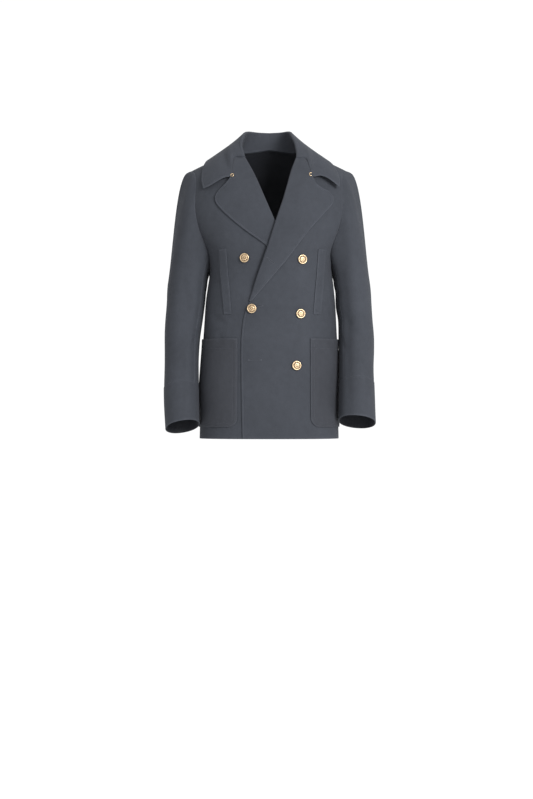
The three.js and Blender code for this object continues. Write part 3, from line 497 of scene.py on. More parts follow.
def wool_of(name, colour, worn, lining):
    made, tree, shader = material(name)
    uv = tree.nodes.new("ShaderNodeUVMap")
    uv.uv_map = "cloth"
    space = tree.nodes.new("ShaderNodeTexCoord").outputs["Object"]
    threads = use(tree, weave, Vector=uv.outputs[0], Thread=THREAD_WIDE, Fuzz=0.55)
    tone = times(tree, threads["Tone"], use(tree, mottle, Vector=space, Amount=0.42)["Tone"])
    rubbed = use(tree, wear, Vector=space, Edge=value_of(tree, "edge"), Amount=0.5)["Mask"]
    inner = value_of(tree, "inside")
    base = blend(tree, rubbed, (*colour, 1), (*worn, 1))
    base = blend(tree, inner, base, (*lining, 1))
    scaled = tree.nodes.new("ShaderNodeVectorMath")
    scaled.operation = "SCALE"
    tree.links.new(base, scaled.inputs[0])
    tree.links.new(tone, scaled.inputs["Scale"])
    tree.links.new(scaled.outputs[0], shader.inputs["Base Color"])
    rough = remap(tree, threads["Height"], 0.2, 1.4, 0.98, 0.84)
    tree.links.new(math_node(tree, "SUBTRACT", rough, times(tree, inner, 0.32)),
                   shader.inputs["Roughness"])
    relief = tree.nodes.new("ShaderNodeBump")
    relief.inputs["Strength"].default_value = 0.55
    relief.inputs["Distance"].default_value = 0.00016
    tree.links.new(threads["Height"], relief.inputs["Height"])
    tree.links.new(relief.outputs[0], shader.inputs["Normal"])
    shader.inputs["Specular IOR Level"].default_value = 0.15
    shader.inputs["Sheen Weight"].default_value = SHEEN
    shader.inputs["Sheen Roughness"].default_value = 0.5
    shader.inputs["Sheen Tint"].default_value = (0.72, 0.76, 0.86, 1)
    return made


SHEEN = 0.03
wool = wool_of("slate_wool", (0.0250, 0.0275, 0.0335), (0.050, 0.055, 0.066), (0.010, 0.011, 0.014))
# The pockets get the slate wool painted a little darker: painted shade on the patch pockets.
pocket_wool_painted_shade = wool_of("pocket_wool_painted_shade", (0.0232, 0.0248, 0.0298), (0.045, 0.049, 0.059), (0.010, 0.011, 0.014))

# %% Thread
thread, tree, shader = material("wool_thread")
space = tree.nodes.new("ShaderNodeTexCoord").outputs["Object"]
ply = remap(tree, noise(tree, space, 2400.0, 2.0), 0.35, 0.65)
lit = blend(tree, ply, (0.030, 0.033, 0.041, 1), (0.052, 0.057, 0.069, 1))
# Stitches whose painted_shade value is 1 are painted near black: painted shade for buttonhole slits and
# pocket mouths.
shaded = blend(tree, value_of(tree, "painted_shade"), lit, (0.004, 0.004, 0.006, 1))
tree.links.new(shaded, shader.inputs["Base Color"])
tree.links.new(remap(tree, ply, 0.0, 1.0, 0.85, 0.62), shader.inputs["Roughness"])
shader.inputs["Specular IOR Level"].default_value = 0.25

# %% [markdown]
# The buttons, hook and eye are brass with an antique finish: pale gold where hands rub them, and a brown
# film that stays in the low places of the relief. The value low, 1 in a recess, says where that is.

# %% Brass
film, start, end = group("old_film", [("Vector", VECTOR, None), ("Low", FLOAT, 0.0), ("Bright", COLOUR, None),
                                      ("Film", COLOUR, None)], [("Color", COLOUR), ("Mask", FLOAT)])
spots = remap(film, noise(film, start.outputs["Vector"], 330.0, 4.0, 0.65), 0.42, 0.72, 0.0, 0.38)
mask_ = math_node(film, "MINIMUM", plus(film, start.outputs["Low"], spots), 1.0)
film.links.new(blend(film, mask_, start.outputs["Bright"], start.outputs["Film"]), end.inputs["Color"])
film.links.new(mask_, end.inputs["Mask"])
brass, tree, shader = material("antique_brass")
space = tree.nodes.new("ShaderNodeTexCoord").outputs["Object"]
old = use(tree, film, Vector=space, Low=value_of(tree, "low"), Bright=(0.50, 0.375, 0.235, 1),
          Film=(0.075, 0.045, 0.026, 1))
tree.links.new(old["Color"], shader.inputs["Base Color"])
tree.links.new(remap(tree, old["Mask"], 0.0, 1.0, 0.34, 0.68), shader.inputs["Roughness"])
shader.inputs["Metallic"].default_value = 0.9
relief = tree.nodes.new("ShaderNodeBump")
relief.inputs["Strength"].default_value = 0.35
relief.inputs["Distance"].default_value = 0.0001
tree.links.new(noise(tree, space, 900.0, 3.0), relief.inputs["Height"])
tree.links.new(relief.outputs[0], shader.inputs["Normal"])
print("materials:", [m.name for m in bpy.data.materials])

# %% [markdown]
# ## Stitches
# A stitch is a short soft capsule that lies half in the cloth, 2.6 mm long on a 3.1 mm pitch. It has only
# 20 faces, because there are some thousands of them. All stitches of one piece are one mesh. Flat, wide
# ones in a row, painted black as painted shade, stand for the slit of a buttonhole or the mouth of a pocket.

# %% Rows of stitches
def along_line(points, normals, long=2.6, pitch=3.1, half=0.26, tall=0.24, painted_shade=0.0, trim=1.5):
    run = lengths(points, 0)
    count = max(int((run[-1] - 2 * trim) / pitch), 1)
    mid = trim + (run[-1] - 2 * trim) * (np.arange(count) + 0.5) / count
    way = unit(read_off(mid + long / 2, run, points) - read_off(mid - long / 2, run, points))
    up = unit(read_off(mid, run, normals))
    return stack(read_off(mid, run, points), way, up, long, half, tall, painted_shade)


def stack(mid, way, up, long, half, tall, painted_shade=0.0):
    flat = np.stack([np.full(len(mid), float(v)) for v in (long, half, tall, painted_shade)], -1)
    return np.concatenate([mid, way, up, flat], 1)


# Each stitch carries the value painted_shade; at 1 the stitch is painted black as painted shade.
def sew(name, rows):
    rows = np.concatenate(rows)
    mid, way, up = rows[:, :3], rows[:, 3:6], rows[:, 6:9]
    long, half, tall, painted_shade = rows[:, 9:].T[..., None]
    side_ = unit(np.cross(way, up))
    verts = [mid - way * long / 2 - up * 0.08]
    for t, r in ((-0.66, 0.8), (0, 1), (0.66, 0.8)):
        for k in range(5):
            a = 2 * math.pi * k / 5 + math.pi / 2
            verts.append(mid + way * long / 2 * t + side_ * half * r * math.cos(a)
                         + up * (tall * r * math.sin(a) + 0.04 - 0.1 * abs(t)))
    verts.append(mid + way * long / 2 - up * 0.08)
    verts = np.stack(verts, 1)
    points = verts.shape[1]
    first = np.arange(len(rows))[:, None] * points
    k, n = np.arange(5), (np.arange(5) + 1) % 5
    tris = [first + np.stack([0 * k, 1 + n, 1 + k], -1).reshape(1, -1),
            first + np.stack([16 + 0 * k, 11 + k, 11 + n], -1).reshape(1, -1)]
    quads = [first + np.stack([b + k, b + n, b + 5 + n, b + 5 + k], -1).reshape(1, -1) for b in (1, 6)]
    return fill(name, verts.reshape(-1, 3), [np.concatenate([t.reshape(-1, 3) for t in tris]),
                                             np.concatenate([q.reshape(-1, 4) for q in quads])],
                [("painted_shade", np.repeat(painted_shade[:, 0], points))])


def row_at(face, out, far, edge="right"):
    near = off_edge(face, edge)
    if edge in ("first", "last"):
        near, face, out = near.T, face.swapaxes(0, 1), out.swapaxes(0, 1)
    if edge in ("right", "last"):
        near, face, out = near[:, ::-1], face[:, ::-1], out[:, ::-1]

    def pick(values):
        return np.stack([[np.interp(far, run, row[:, k]) for k in range(3)]
                         for run, row in zip(near, values)])

    return pick(face), unit(pick(out))


def lie(face, out, x, z):
    x, z = np.atleast_1d(x), np.atleast_1d(z)
    front_ = out[..., 1].ravel() < -0.2
    p, n = face.reshape(-1, 3)[front_], out.reshape(-1, 3)[front_]
    k = np.argmin((p[None, :, 0] - x[:, None]) ** 2 + (p[None, :, 2] - z[:, None]) ** 2, axis=1)
    p, n = p[k], n[k]
    return vec(x, p[:, 1] - (n[:, 0] * (x - p[:, 0]) + n[:, 2] * (z - p[:, 2])) / n[:, 1], z), n


def buttonhole(face, out, x0, z0, x1, z1):
    s = np.linspace(0, 1, 40)
    p, n = lie(face, out, mix(x0, x1, s), mix(z0, z1, s))
    n = unit(np.broadcast_to(n.mean(0), n.shape))
    way = unit(np.broadcast_to(p[-1] - p[0], p.shape))
    side_ = np.cross(way, n)
    # The slit is a row of flat stitches painted black: painted shade in the cut.
    slit = along_line(p, n, 4.4, 3.2, 0.55, 0.16, 1.0, 0.5)
    rims = [stack(p + side_ * k * 1.25, side_, n, 2.0, 0.31, 0.34) for k in (1, -1)]
    ends = []
    for at, sign in ((0, -1), (-1, 1)):
        a = np.radians(np.linspace(-75, 75, 7))[:, None]
        d = way[at] * sign * np.cos(a) + side_[at] * np.sin(a)
        ends.append(stack(p[at] + d * 1.25, d, np.broadcast_to(n[at], d.shape), 2.0, 0.31, 0.34))
    return [slit, *rims, *ends]


def bar_tack(p, n, way, wide=7.0, long=2.2):
    side_ = unit(np.cross(way, n))
    s = np.linspace(-0.5, 0.5, 12)[:, None] * wide
    same = lambda v: np.broadcast_to(unit(v), (12, 3))
    return stack(p + side_ * s, same(way), same(n), long, 0.3, 0.34)


# %% [markdown]
# ## Fronts
# A front runs from its edge to the side seam and the armhole. Above the break the edge is the roll line
# of the lapel. The left front lies on the right one, so it is lifted where they cross.

# %% Fronts
def levels(low, high):
    up = ARMPIT + (TOP - ARMPIT) * (1 - np.cos(np.pi * np.arange(1, high + 1) / high)) / 2
    return np.concatenate([low, up])


HEM = np.array([0, 0.6, 1.6, 3, 5, 8, 12])
ALONG = levels(np.concatenate([HEM, np.linspace(12, ARMPIT, 106)[1:]]), 96)
LOW = len(ALONG) - 96 - 1


def side_angle(along, cut):
    s = np.clip((along - ARMPIT) / (TOP - ARMPIT), 0, 1)
    deep = (1 - np.abs(2 * s - 1) ** 2.3) ** (1 / 2.3)
    low = mix(SIDE_HEM, SIDE_TOP, along / ARMPIT)
    return np.radians(np.where(along <= ARMPIT, low, mix(SIDE_TOP, 90, s) + cut * deep))


def spread(total, near, far, count):
    total = np.asarray(total, float)[..., None]
    near, far = np.asarray(near, float), np.asarray(far, float)
    fit = np.minimum(1, 0.45 * total / max(near[-1] + far[-1], 1e-6))
    mid = np.linspace(0, 1, count + 2)[1:-1]
    a, b = near * fit, total - far[::-1] * fit
    return np.concatenate([a, mix(a[..., -1:], b[..., :1], mid), b], -1)


def share(start, end, along, near, far, count):
    start, end, along = (np.asarray(v, float)[:, None] for v in (start, end, along))
    line = mix(start, end, np.linspace(0, 1, 161))
    run = lengths(bare(line, along), 1)
    want = spread(run[:, -1], near, far, count)
    return np.stack([np.interp(w, r, a) for w, r, a in zip(want, run, line)])


RIM = [0, 0.6, 1.4, 2.4, 3.4, 4.2, 5, 6, 8]
SEAM = [0, 0.5, 1, 1.7, 2.8, 5]


def front(side):
    edge = EDGE_LEFT if side > 0 else EDGE_RIGHT
    x = edge(np.full(len(ALONG), -200.0))[0]
    for _ in range(30):
        x = mix(x, edge(height_at(x, ALONG))[0], 0.7)
    angles = share(angle_of(x, ALONG), side * side_angle(ALONG, -ARM_FRONT), ALONG, RIM, SEAM, 70)
    along = np.broadcast_to(ALONG[:, None], angles.shape)
    base = bare(angles, along)
    lift = over(base[..., 0], base[..., 2]) if side > 0 else 0
    return skin(angles, along, lift), outward(angles, along)


# %% Making both fronts
parts = {}
for side, word in ((1, "left"), (-1, "right")):
    face, out = front(side)
    parts[word] = {"arm": (face[LOW:, -1].copy(), out[LOW:, -1].copy())}
    face += out * quilt(off_edge(face, "left")) * ease((BREAK[side] - face[..., 2]) / 20)[..., None]
    sink(face, out, ["right", "last"])
    obj = cloth(f"coat_front_{word}", face, out, across=side * face[..., 0], high=ALONG)
    place(obj, [f"front_{word}"], wool)
    parts[word]["front"] = (face, out)

# %% [markdown]
# The free edge of the left front has one row of stitches. The two buttonholes that show are beside the
# middle left button, and below it where no button is sewn on.

# %% Stitches of the left front
face, out = parts["left"]["front"]
rows = face[:, 0, 2] < BREAK[1] - 8
p, n = row_at(face[rows], out[rows], STITCH_IN, "left")
holes = buttonhole(face, out, -47, -404.5, -16.5, -404.5) + buttonhole(face, out, -50, -539.5, -20, -539.5)
place(sew("stitches_front_left", [along_line(p, n), *holes]), [], thread)

# %% [markdown]
# ## Back
# The back is one panel. Its top follows the shoulder seams and the curve of the neck between them.

# %% Back
def back():
    neck_share = NECK_X / SHOULDER
    turn_in = neck_share * np.sin(np.linspace(0, np.pi / 2, 26))
    half = np.concatenate([turn_in, np.linspace(neck_share, 1, 44)[1:-1], [0.992, 0.996, 0.9985, 1]])
    half = np.unique(np.round(half, 6))
    x = np.minimum(SHOULDER * half, SHOULDER)
    dip = (TOP - BACK_NECK) * np.sqrt(np.maximum(1 - (x / NECK_X) ** 2, 0))
    low = np.where(x >= NECK_X - 0.01, TOP, TOP - dip)
    up = ALONG[:, None]
    t = np.where(up > ARMPIT, ARMPIT + (up - ARMPIT) * (low - ARMPIT) / (TOP - ARMPIT), up + 0 * low)
    end = side_angle(ALONG, ARM_BACK)[:, None, None]
    line = mix(np.pi, end, np.linspace(0, 1, 161))
    line = np.broadcast_to(line, (len(ALONG), len(half), 161))
    run = lengths(bare(line, t[..., None]), 2)
    want = half * run[..., -1]
    angles = np.empty_like(want)
    for i in range(want.shape[0]):
        for j in range(want.shape[1]):
            angles[i, j] = np.interp(want[i, j], run[i, j], line[i, j])
    face_r, out_r = skin(angles, t), outward(angles, t)
    face_l, out_l = skin(-angles, t), outward(-angles, t)
    face = np.concatenate([face_l[:, :0:-1], face_r], 1)
    out = np.concatenate([out_l[:, :0:-1], out_r], 1)
    return face, out, half


face, out, half = back()
parts["left"]["arm_back"] = (face[LOW:, -1].copy(), out[LOW:, -1].copy())
parts["right"]["arm_back"] = (face[LOW:, 0].copy(), out[LOW:, 0].copy())
middle = len(half) - 1
neck_cols = int(np.sum(half <= NECK_X / SHOULDER + 1e-5))
rim_points = {1: (face[-1, middle:middle + neck_cols].copy(), out[-1, middle:middle + neck_cols].copy()),
              -1: (face[-1, middle::-1][:neck_cols].copy(), out[-1, middle::-1][:neck_cols].copy())}
sink(face, out, ["left", "right", "last"])
place(cloth("coat_back", face, out, high=ALONG), ["back"], wool)

# %% [markdown]
# ## Lapels
# A lapel is the top of the front turned back: half a turn round the roll line, then flat on the chest.

# %% Lapels
LAPEL = {1: table([  # share of the way up, x, z
    [0, -44, -392], [0.2, -2, -343], [0.42, 48, -281], [0.6, 85, -229], [0.8, 134, -173],
    [0.93, 156, -148], [1, 160.5, -131]]),
    -1: table([
        [0, 63, -318], [0.25, 2, -260], [0.5, -52, -220], [0.7, -90, -189], [0.86, -120, -160],
        [0.96, -132, -143], [1, -133.5, -131]])}
TOP_EDGE = {1: table([  # share from the roll to the tip, x, z
    [0, 69.5, -36.4], [0.25, 89, -40], [0.4, 98, -62], [0.5, 105.5, -82], [0.62, 116, -101],
    [0.75, 132, -111], [0.88, 147, -117], [1, 160.5, -131]]),
    -1: table([
        [0, -64, -30], [0.25, -85, -34], [0.4, -90, -58], [0.5, -93, -79], [0.62, -102, -94],
        [0.75, -115, -107], [0.88, -126, -117], [1, -133.5, -131]])}
EDGE = {1: EDGE_LEFT, -1: EDGE_RIGHT}
NOTCH, SEAM_LIFT = 0.5, 5
ARC = np.linspace(0, 180, 11)
END_ROWS = np.array([0.026, 0.0205, 0.0165, 0.0140, 0.0122, 0.0104, 0.0086, 0.0064, 0.0038, 0.0016, 0])


def seam_lift(w):
    return np.where(w <= NOTCH, SEAM_LIFT * ease(w / NOTCH), SEAM_LIFT * (1 - ease((w - NOTCH) / 0.5)))


def gorge(side):
    z = GORGE[side] + np.array([0, 8, -8.0])
    p, n = chest(side, EDGE[side](z)[0], z, 0.0)
    d = unit(np.cross(p[1] - p[2], n[0]))
    return p[0], n[0], (-d if d[0] * side > 0 else d)


def turn(p, n, d, deg, fold=FOLD):
    a = np.radians(deg)
    r = -n[:, None] * np.cos(a)[:, None] + d[:, None] * np.sin(a)[:, None]
    fold = np.broadcast_to(fold, (len(p),))[:, None, None]
    return p[:, None] + n[:, None] * fold + r * (fold + CLOTH) + d[:, None] * 3 * GAP, r


def lapel(side):
    low, high, edge, top = BREAK[side], GORGE[side], LAPEL[side], TOP_EDGE[side]
    s = np.concatenate([np.linspace(0, 0.968, 110), 1 - END_ROWS])
    z = mix(low, high, s)
    x = EDGE[side](z)[0]
    p, n = chest(side, x, z, 0.0)
    end_d = gorge(side)[2]
    d = unit(np.cross(np.gradient(p, axis=0), n))
    d = np.where(d[:, :1] * side > 0, -d, d)
    d = unit(mix(d, end_d, ease((s - 0.96) / 0.04)[:, None]))
    fold = mix(0.25, FOLD, ease(s / 0.3))
    roll, roll_n = turn(p, n, d, ARC, fold)
    ox, oz = edge(s)
    far = spread(np.hypot(ox - x, oz - z), [4], RIM, 44)
    w = far / np.maximum(np.hypot(ox - x, oz - z), 1e-3)[:, None]
    near = ease((s - 0.62) / 0.38)[:, None]
    ex, ez = top(w)
    tx = top(0.0)[0]
    gx, gz = edge(1.0)
    px = mix(x[:, None], ox[:, None], w) + near * (ex - mix(tx, gx, w))
    pz = mix(z[:, None], oz[:, None], w) + near * (ez - mix(high, gz, w))
    soft = 3 * np.sin(np.pi * w) * ease(s / 0.3 if side > 0 else (s - 0.35) / 0.4)[:, None] * (1 - near)
    turned = (2 * fold + CLOTH)[:, None]
    fall, fall_n = chest(side, px, pz, turned + soft + near * seam_lift(w))
    return np.concatenate([roll, fall], 1), np.concatenate([roll_n, fall_n], 1)


# %% [markdown]
# Each lapel has one row of stitches 4 mm inside its outer edge and its top edge, as far as the notch. The
# left one also has a buttonhole, slanting down from the roll.

# %% Making both lapels
def notched(face, out, w, ends):
    near = off_edge(face, "right")
    for e in ends:
        near = np.minimum(near, off_edge(face, e) + 60 * ease((NOTCH + 0.04 - w) / 0.06))
    face += out * quilt(near)
    for e in ends:
        face -= out * (0.5 * np.exp(-((off_edge(face, e) / 0.9) ** 2)) * ease((NOTCH - w) / 0.04))[..., None]


for side, word in ((1, "left"), (-1, "right")):
    face, out = lapel(side)
    run = lengths(face[:, len(ARC):], 1)
    w = np.concatenate([np.zeros((len(face), len(ARC))), run / run[:, -1:]], 1)
    notched(face, out, w, ["last"])
    place(cloth(f"coat_lapel_{word}", face, out), [f"lapel_{word}"], wool)
    p, n = row_at(face, out, STITCH_IN)
    keep = off_edge(face, "last")[:, -1] > STITCH_IN
    keep &= off_edge(face, "first")[:, -1] > 6
    q, m = row_at(face[:, len(ARC):], out[:, len(ARC):], STITCH_IN, "last")
    inner = (w[-1, len(ARC):] > NOTCH + 0.02) & (off_edge(face, "right")[-1, len(ARC):] > STITCH_IN)
    line, up = np.concatenate([p[keep], q[inner][::-1]]), np.concatenate([n[keep], m[inner][::-1]])
    rows = [along_line(line, up)]
    if side > 0:
        rows += buttonhole(face, out, -5, -286, 12, -299)
    place(sew(f"stitches_lapel_{word}", rows), [], thread)

# %% [markdown]
# ## Collar
# The collar goes up from the neck seam, over its roll and down to its outer edge. Towards its ends the
# fall settles on the chest, beside the lapels.

# %% Collar
FRONT_EDGE = {1: table([  # share from the roll to the tip, x, z, height over the chest
    [0, 69.5, -36.4, 0], [0.25, 89, -40, 2], [0.4, 98, -62, 4], [0.5, 105.5, -82, 5], [0.62, 124, -81, 9],
    [0.75, 139, -87, 13], [0.88, 154, -98, 15], [1, 168, -108, 13]]),
    -1: table([
        [0, -64, -30, 0], [0.25, -85, -34, 2], [0.4, -90, -58, 4], [0.5, -93, -79, 5], [0.62, -110, -86, 8],
        [0.75, -126, -95, 9], [0.88, -143, -105, 9], [1, -159, -111, 8]])}
COLLAR = table([  # share, roll x y z, outer edge x y z, bulge, and how much nearer both are on the left
    [0, 0, 76, 47, 0, 126, -46, 8, 0, 0], [0.18, 28, 69, 47, 58, 121, -44, 6, 0, 0],
    [0.36, 49, 44, 45, 116, 96, -40, 2, 3, 1], [0.52, 59, 14, 38, 148, 52, -31.5, 0, 6, 4],
    [0.66, 64, -14, 25, 157, 6, -27, 0, 6, 8], [0.8, 68, -38, 6, 164, -34, -48, 2, 3, 3],
    [0.92, 69, -60, -19, 165, -62, -86, 3, 0, -5], [1, 68, -73, -36.4, 159, -82, -111, 0, 0, -9]])
ROLL, STAND_COLS = 4.2, 9


def collar_half(side):
    g_p, g_n, g_d = gorge(side)
    rim_p, rim_n = rim_points[side]
    z = np.linspace(-3, GORGE[side], 24)[1:]
    line_p, line_n = chest(side, EDGE[side](z)[0], z, 0.0)
    neck_p, neck_n = np.concatenate([rim_p, line_p]), np.concatenate([rim_n, line_n])
    keep = np.concatenate([[True], np.linalg.norm(np.diff(neck_p, axis=0), axis=1) > 0.4])
    neck_p, neck_n = neck_p[keep], neck_n[keep]
    run = lengths(neck_p, 0)
    a = np.concatenate([np.linspace(0, 0.972, 96), 1 - END_ROWS])

    def along(values, s):
        return read_off(s * run[-1], run, values)

    def section(t):
        rx, ry, rz, ex, ey, ez, bulge, slim, edge_slim = COLLAR(t)
        w = ease((t - 0.8) / 0.2)[:, None]
        on_left = max(side, 0)
        r = vec(side * (rx - slim * on_left), ry, rz) + w * (g_p - np.array([side * 68, -73, -36.4]))
        return r, vec(side * (ex - edge_slim * on_left), ey, ez), bulge[:, None]

    r, o, bulge = section(a)
    p, n = along(neck_p, a), unit(along(neck_n, a))
    ahead = along(neck_p, np.minimum(a + 0.01, 1)) - along(neck_p, np.maximum(a - 0.01, 0))
    inward = unit(np.cross(ahead, n))
    inward = np.where(inward[:, :1] * p[:, :1] + inward[:, 1:2] * p[:, 1:2] > 0, -inward, inward)
    step = unit(section(np.minimum(a + 0.02, 1))[0] - section(np.maximum(a - 0.02, 0))[0])
    clear = lambda v: unit(v - step * dot(v, step))
    last = ease((a - 0.985) / 0.015)[:, None]
    foot = p - n * CLOTH + inward * (GAP + 1.8 * CLOTH * (1 - ease((a - 0.965) / 0.035)))[:, None]
    tall = np.linalg.norm(r - foot, axis=1, keepdims=True)
    rise = clear(mix(g_d, unit(r - foot), ease(tall / 22)))
    up = unit(mix(unit(rise - 0.6 * clear(o - r)), g_d, last))
    away = np.cross(step, up)
    sign = np.where(dot(away, n) - dot(away, inward) < 0, -1, 1)
    away = unit(mix(unit(away * sign), g_n, last))
    rad = mix(ROLL, FOLD + CLOTH, last)
    inner = mix(r, g_p - g_n * CLOTH + g_d * 3 * GAP, last)
    low = mix(foot, inner - g_d * 2 * GAP, last)
    stand = low[:, None] + (inner - low)[:, None] * np.linspace(0, 0.9, STAND_COLS)[None, :, None]
    hub = inner + away * rad
    arc = np.radians(ARC)[None, :, None]
    roll = hub[:, None] + rad[:, None] * (up[:, None] * np.sin(arc) - away[:, None] * np.cos(arc))
    start = inner + away * 2 * rad
    span = o - start
    puff = unit(up + away)
    puff = unit(puff - span * dot(puff, span) / dot(span, span))
    long = np.linalg.norm(span, axis=1)
    w = spread(long, [4], RIM, 40) / long[:, None]
    arch = (bulge * 4 * w * (1 - w))[..., None]
    fall = start[:, None] + span[:, None] * w[..., None] + puff[:, None] * arch
    near = ease((a - 0.66) / 0.34)[:, None, None]
    ex, ez, lift = FRONT_EDGE[side](w[-1])
    bend = chest(side, ex, ez, TURNED + lift)[0] - fall[-1]
    fall += near * read_off(w, w[-1], bend)
    return np.concatenate([stand, roll, fall], 1)


left, right = collar_half(1), collar_half(-1)
face = np.concatenate([right[:0:-1], left])
out = grain(face, flip=-1)
count = STAND_COLS + len(ARC)
for side, i in ((1, -1), (-1, 0)):
    g_p, g_n, g_d = gorge(side)
    _, roll_n = turn(g_p[None], g_n[None], g_d[None], ARC)
    out[i, STAND_COLS:count] = roll_n[0]
    out[i, :STAND_COLS] = roll_n[0, 0]
    w = np.linspace(0, 1, face.shape[1] - count)
    ex, ez, _ = FRONT_EDGE[side](w)
    out[i, count:] = chest(side, ex, ez, 0.0)[1]
run = lengths(face[:, count:], 1)
w = np.concatenate([np.zeros((len(face), count)), run / run[:, -1:]], 1)
notched(face, out, w, ["first", "last"])
place(cloth("coat_collar", face, out), ["collar"], wool)
p, n = row_at(face, out, STITCH_IN)
keep = (off_edge(face, "first")[:, -1] > STITCH_IN) & (off_edge(face, "last")[:, -1] > STITCH_IN)
tips = []
for end_ in ("first", "last"):
    q, m = row_at(face[:, count:], out[:, count:], 4.2, end_)
    at = 0 if end_ == "first" else -1
    inner = (w[at, count:] > NOTCH + 0.02) & (off_edge(face, "right")[at, count:] > STITCH_IN)
    tips.append((q[inner], m[inner]))
line = np.concatenate([tips[0][0], p[keep], tips[1][0][::-1]])
up = np.concatenate([tips[0][1], n[keep], tips[1][1][::-1]])
place(sew("stitches_collar", [along_line(line, up)]), [], thread)

# %% [markdown]
# ## Sleeves and cuffs
# A sleeve is a head that leaves the armhole in a curve, then rings that follow the arm. It is sewn from
# a top and an under piece, and the cuff is a deep band below a seam.

# %% Sleeves
SLEEVE = {1: table([  # height, inner and outer side, front and back
    [-320, 164, 255.5, -62, 76], [-345, 165, 258, -62, 72], [-366, 169.5, 260, -63, 68],
    [-403, 171, 262, -65, 62], [-434, 175.6, 264, -68, 56], [-475, 176, 266.5, -74, 46],
    [-515, 176.8, 266, -82, 35], [-556, 176.8, 265, -92, 23], [-620, 176.3, 266, -106, 8],
    [-700, 175.5, 269, -118, -6]]),
    -1: table([
        [-320, 156, 256, -62, 76], [-345, 157.4, 258.5, -62, 72], [-366, 160.5, 260, -63, 67],
        [-388, 162.8, 261, -64, 62], [-434, 168.8, 264, -68, 54], [-475, 174.8, 265.5, -73, 46],
        [-515, 177.2, 265.5, -80, 36], [-556, 178.4, 265, -88, 25], [-620, 177, 265, -100, 10],
        [-700, 176, 261, -112, -4]])}
SLEEVE_TILT = 0.3
CUFF_TOP, CUFF_END = {1: -594, -1: -606}, {1: -691, -1: -703}
SEAM_FRONT, SEAM_BACK = 40, 300
SLEEVE_FOLDS = [  # side, from degrees and height, to degrees and height, half width, rise
    (-1, 62, -240, 66, -690, 14, 3), (-1, 100, -330, 70, -470, 16, -2.5), (-1, 40, -420, 95, -500, 15, -2.5),
    (1, 60, -270, 62, -680, 16, -3), (1, 100, -300, 96, -690, 18, 2.5), (1, 50, -440, 110, -500, 16, -2),
    (-1, 205, -400, 260, -440, 13, -2.4), (-1, 200, -455, 275, -475, 12, -2),
    (-1, 235, -300, 240, -640, 16, 2.2), (1, 205, -405, 262, -450, 13, -2.4),
    (1, 200, -470, 275, -480, 12, -2), (1, 238, -310, 236, -640, 16, 2.2),
    (-1, 30, -470, 60, -520, 10, -1.4), (1, 25, -480, 55, -530, 10, -1.4),
    (-1, 120, -560, 70, -600, 12, -1.3)]
CUFF_DROP = {1: 4.0, -1: 7.0}
ARM_START = -345


def ring_point(side, z, round_):
    z, round_ = np.broadcast_arrays(np.asarray(z, float), np.asarray(round_, float))
    inner, outer, front_, back_ = SLEEVE[side](z)
    mid, half_ = (inner + outer) / 2, (outer - inner) / 2
    deep, y0 = (back_ - front_) / 2, (back_ + front_) / 2
    c, s = power(np.cos(round_), 0.93), power(np.sin(round_), 0.93)
    tilt = SLEEVE_TILT * ease((-380 - z) / 220)
    deg = np.degrees(round_) % 360
    push = sum(high * bump(deg - a0, z - z0, a1 - a0, z1 - z0, wide)
               for k, a0, z0, a1, z1, wide, high in SLEEVE_FOLDS if k == side)
    hang = CUFF_DROP[side] * ease((CUFF_TOP[side] + 10 - z) / (CUFF_TOP[side] - CUFF_END[side])) * c
    p = vec(side * (mid - half_ * c * (1 + push / half_)), y0 - deep * s * (1 + push / deep),
            z + tilt * (deep * s) - tilt * 8 + hang)
    return p + vec(-side * c, -s, 0 * s) * (0.8 * waver(p) * ease((ARM_START - z) / 40))[..., None]


def armhole(word):
    f_p, f_n = parts[word]["arm"]
    b_p, b_n = parts[word]["arm_back"]
    f_run, b_run = lengths(f_p, 0), lengths(b_p[::-1], 0)
    round_ = np.concatenate([np.pi * f_run / f_run[-1], np.pi * (1 + b_run[1:] / b_run[-1])])
    return round_, np.concatenate([f_p, b_p[::-1][1:]]), np.concatenate([f_n, b_n[::-1][1:]])


def sleeve_rows(side, word, turns, head=56, arm=74):
    round_, hole, normal = armhole(word)
    round_turns = turns % (2 * np.pi)
    h, n = read_off(round_turns, round_, hole), unit(read_off(round_turns, round_, normal))
    b = ring_point(side, ARM_START, turns)
    high = ease(1 - np.abs(round_turns / np.pi - 1))
    low, frontish = 1 - high, np.sin(turns)
    gap = np.linalg.norm(h - b, axis=1)[:, None]
    lead = unit(vec(side * mix(0.25, 1, np.minimum(1, high * 1.6)),
                    mix(-0.2, 0.25, ease((high - 0.45) / 0.4)) * frontish, mix(-1, 0.06, high)))
    m0 = lead * gap * mix(0.34, 0.75, low)[:, None]
    m1 = unit(vec(side * 0.16 * high, 0 * high, -1 + 0 * high)) * gap * 0.95
    s = (np.linspace(0, 1, head) ** 1.4)[:, None, None]
    top = (h * (2 * s**3 - 3 * s**2 + 1) + m0 * (s**3 - 2 * s**2 + s)
           + b * (3 * s**2 - 2 * s**3) + m1 * (s**3 - s**2))
    seam = CUFF_TOP[side]
    z = np.concatenate([np.linspace(ARM_START, seam + 8, arm)[1:], seam + np.array([4, 2, 1, 0.5, 0])])
    rows = np.concatenate([top, ring_point(side, z[:, None], turns[None])])
    return rows, n


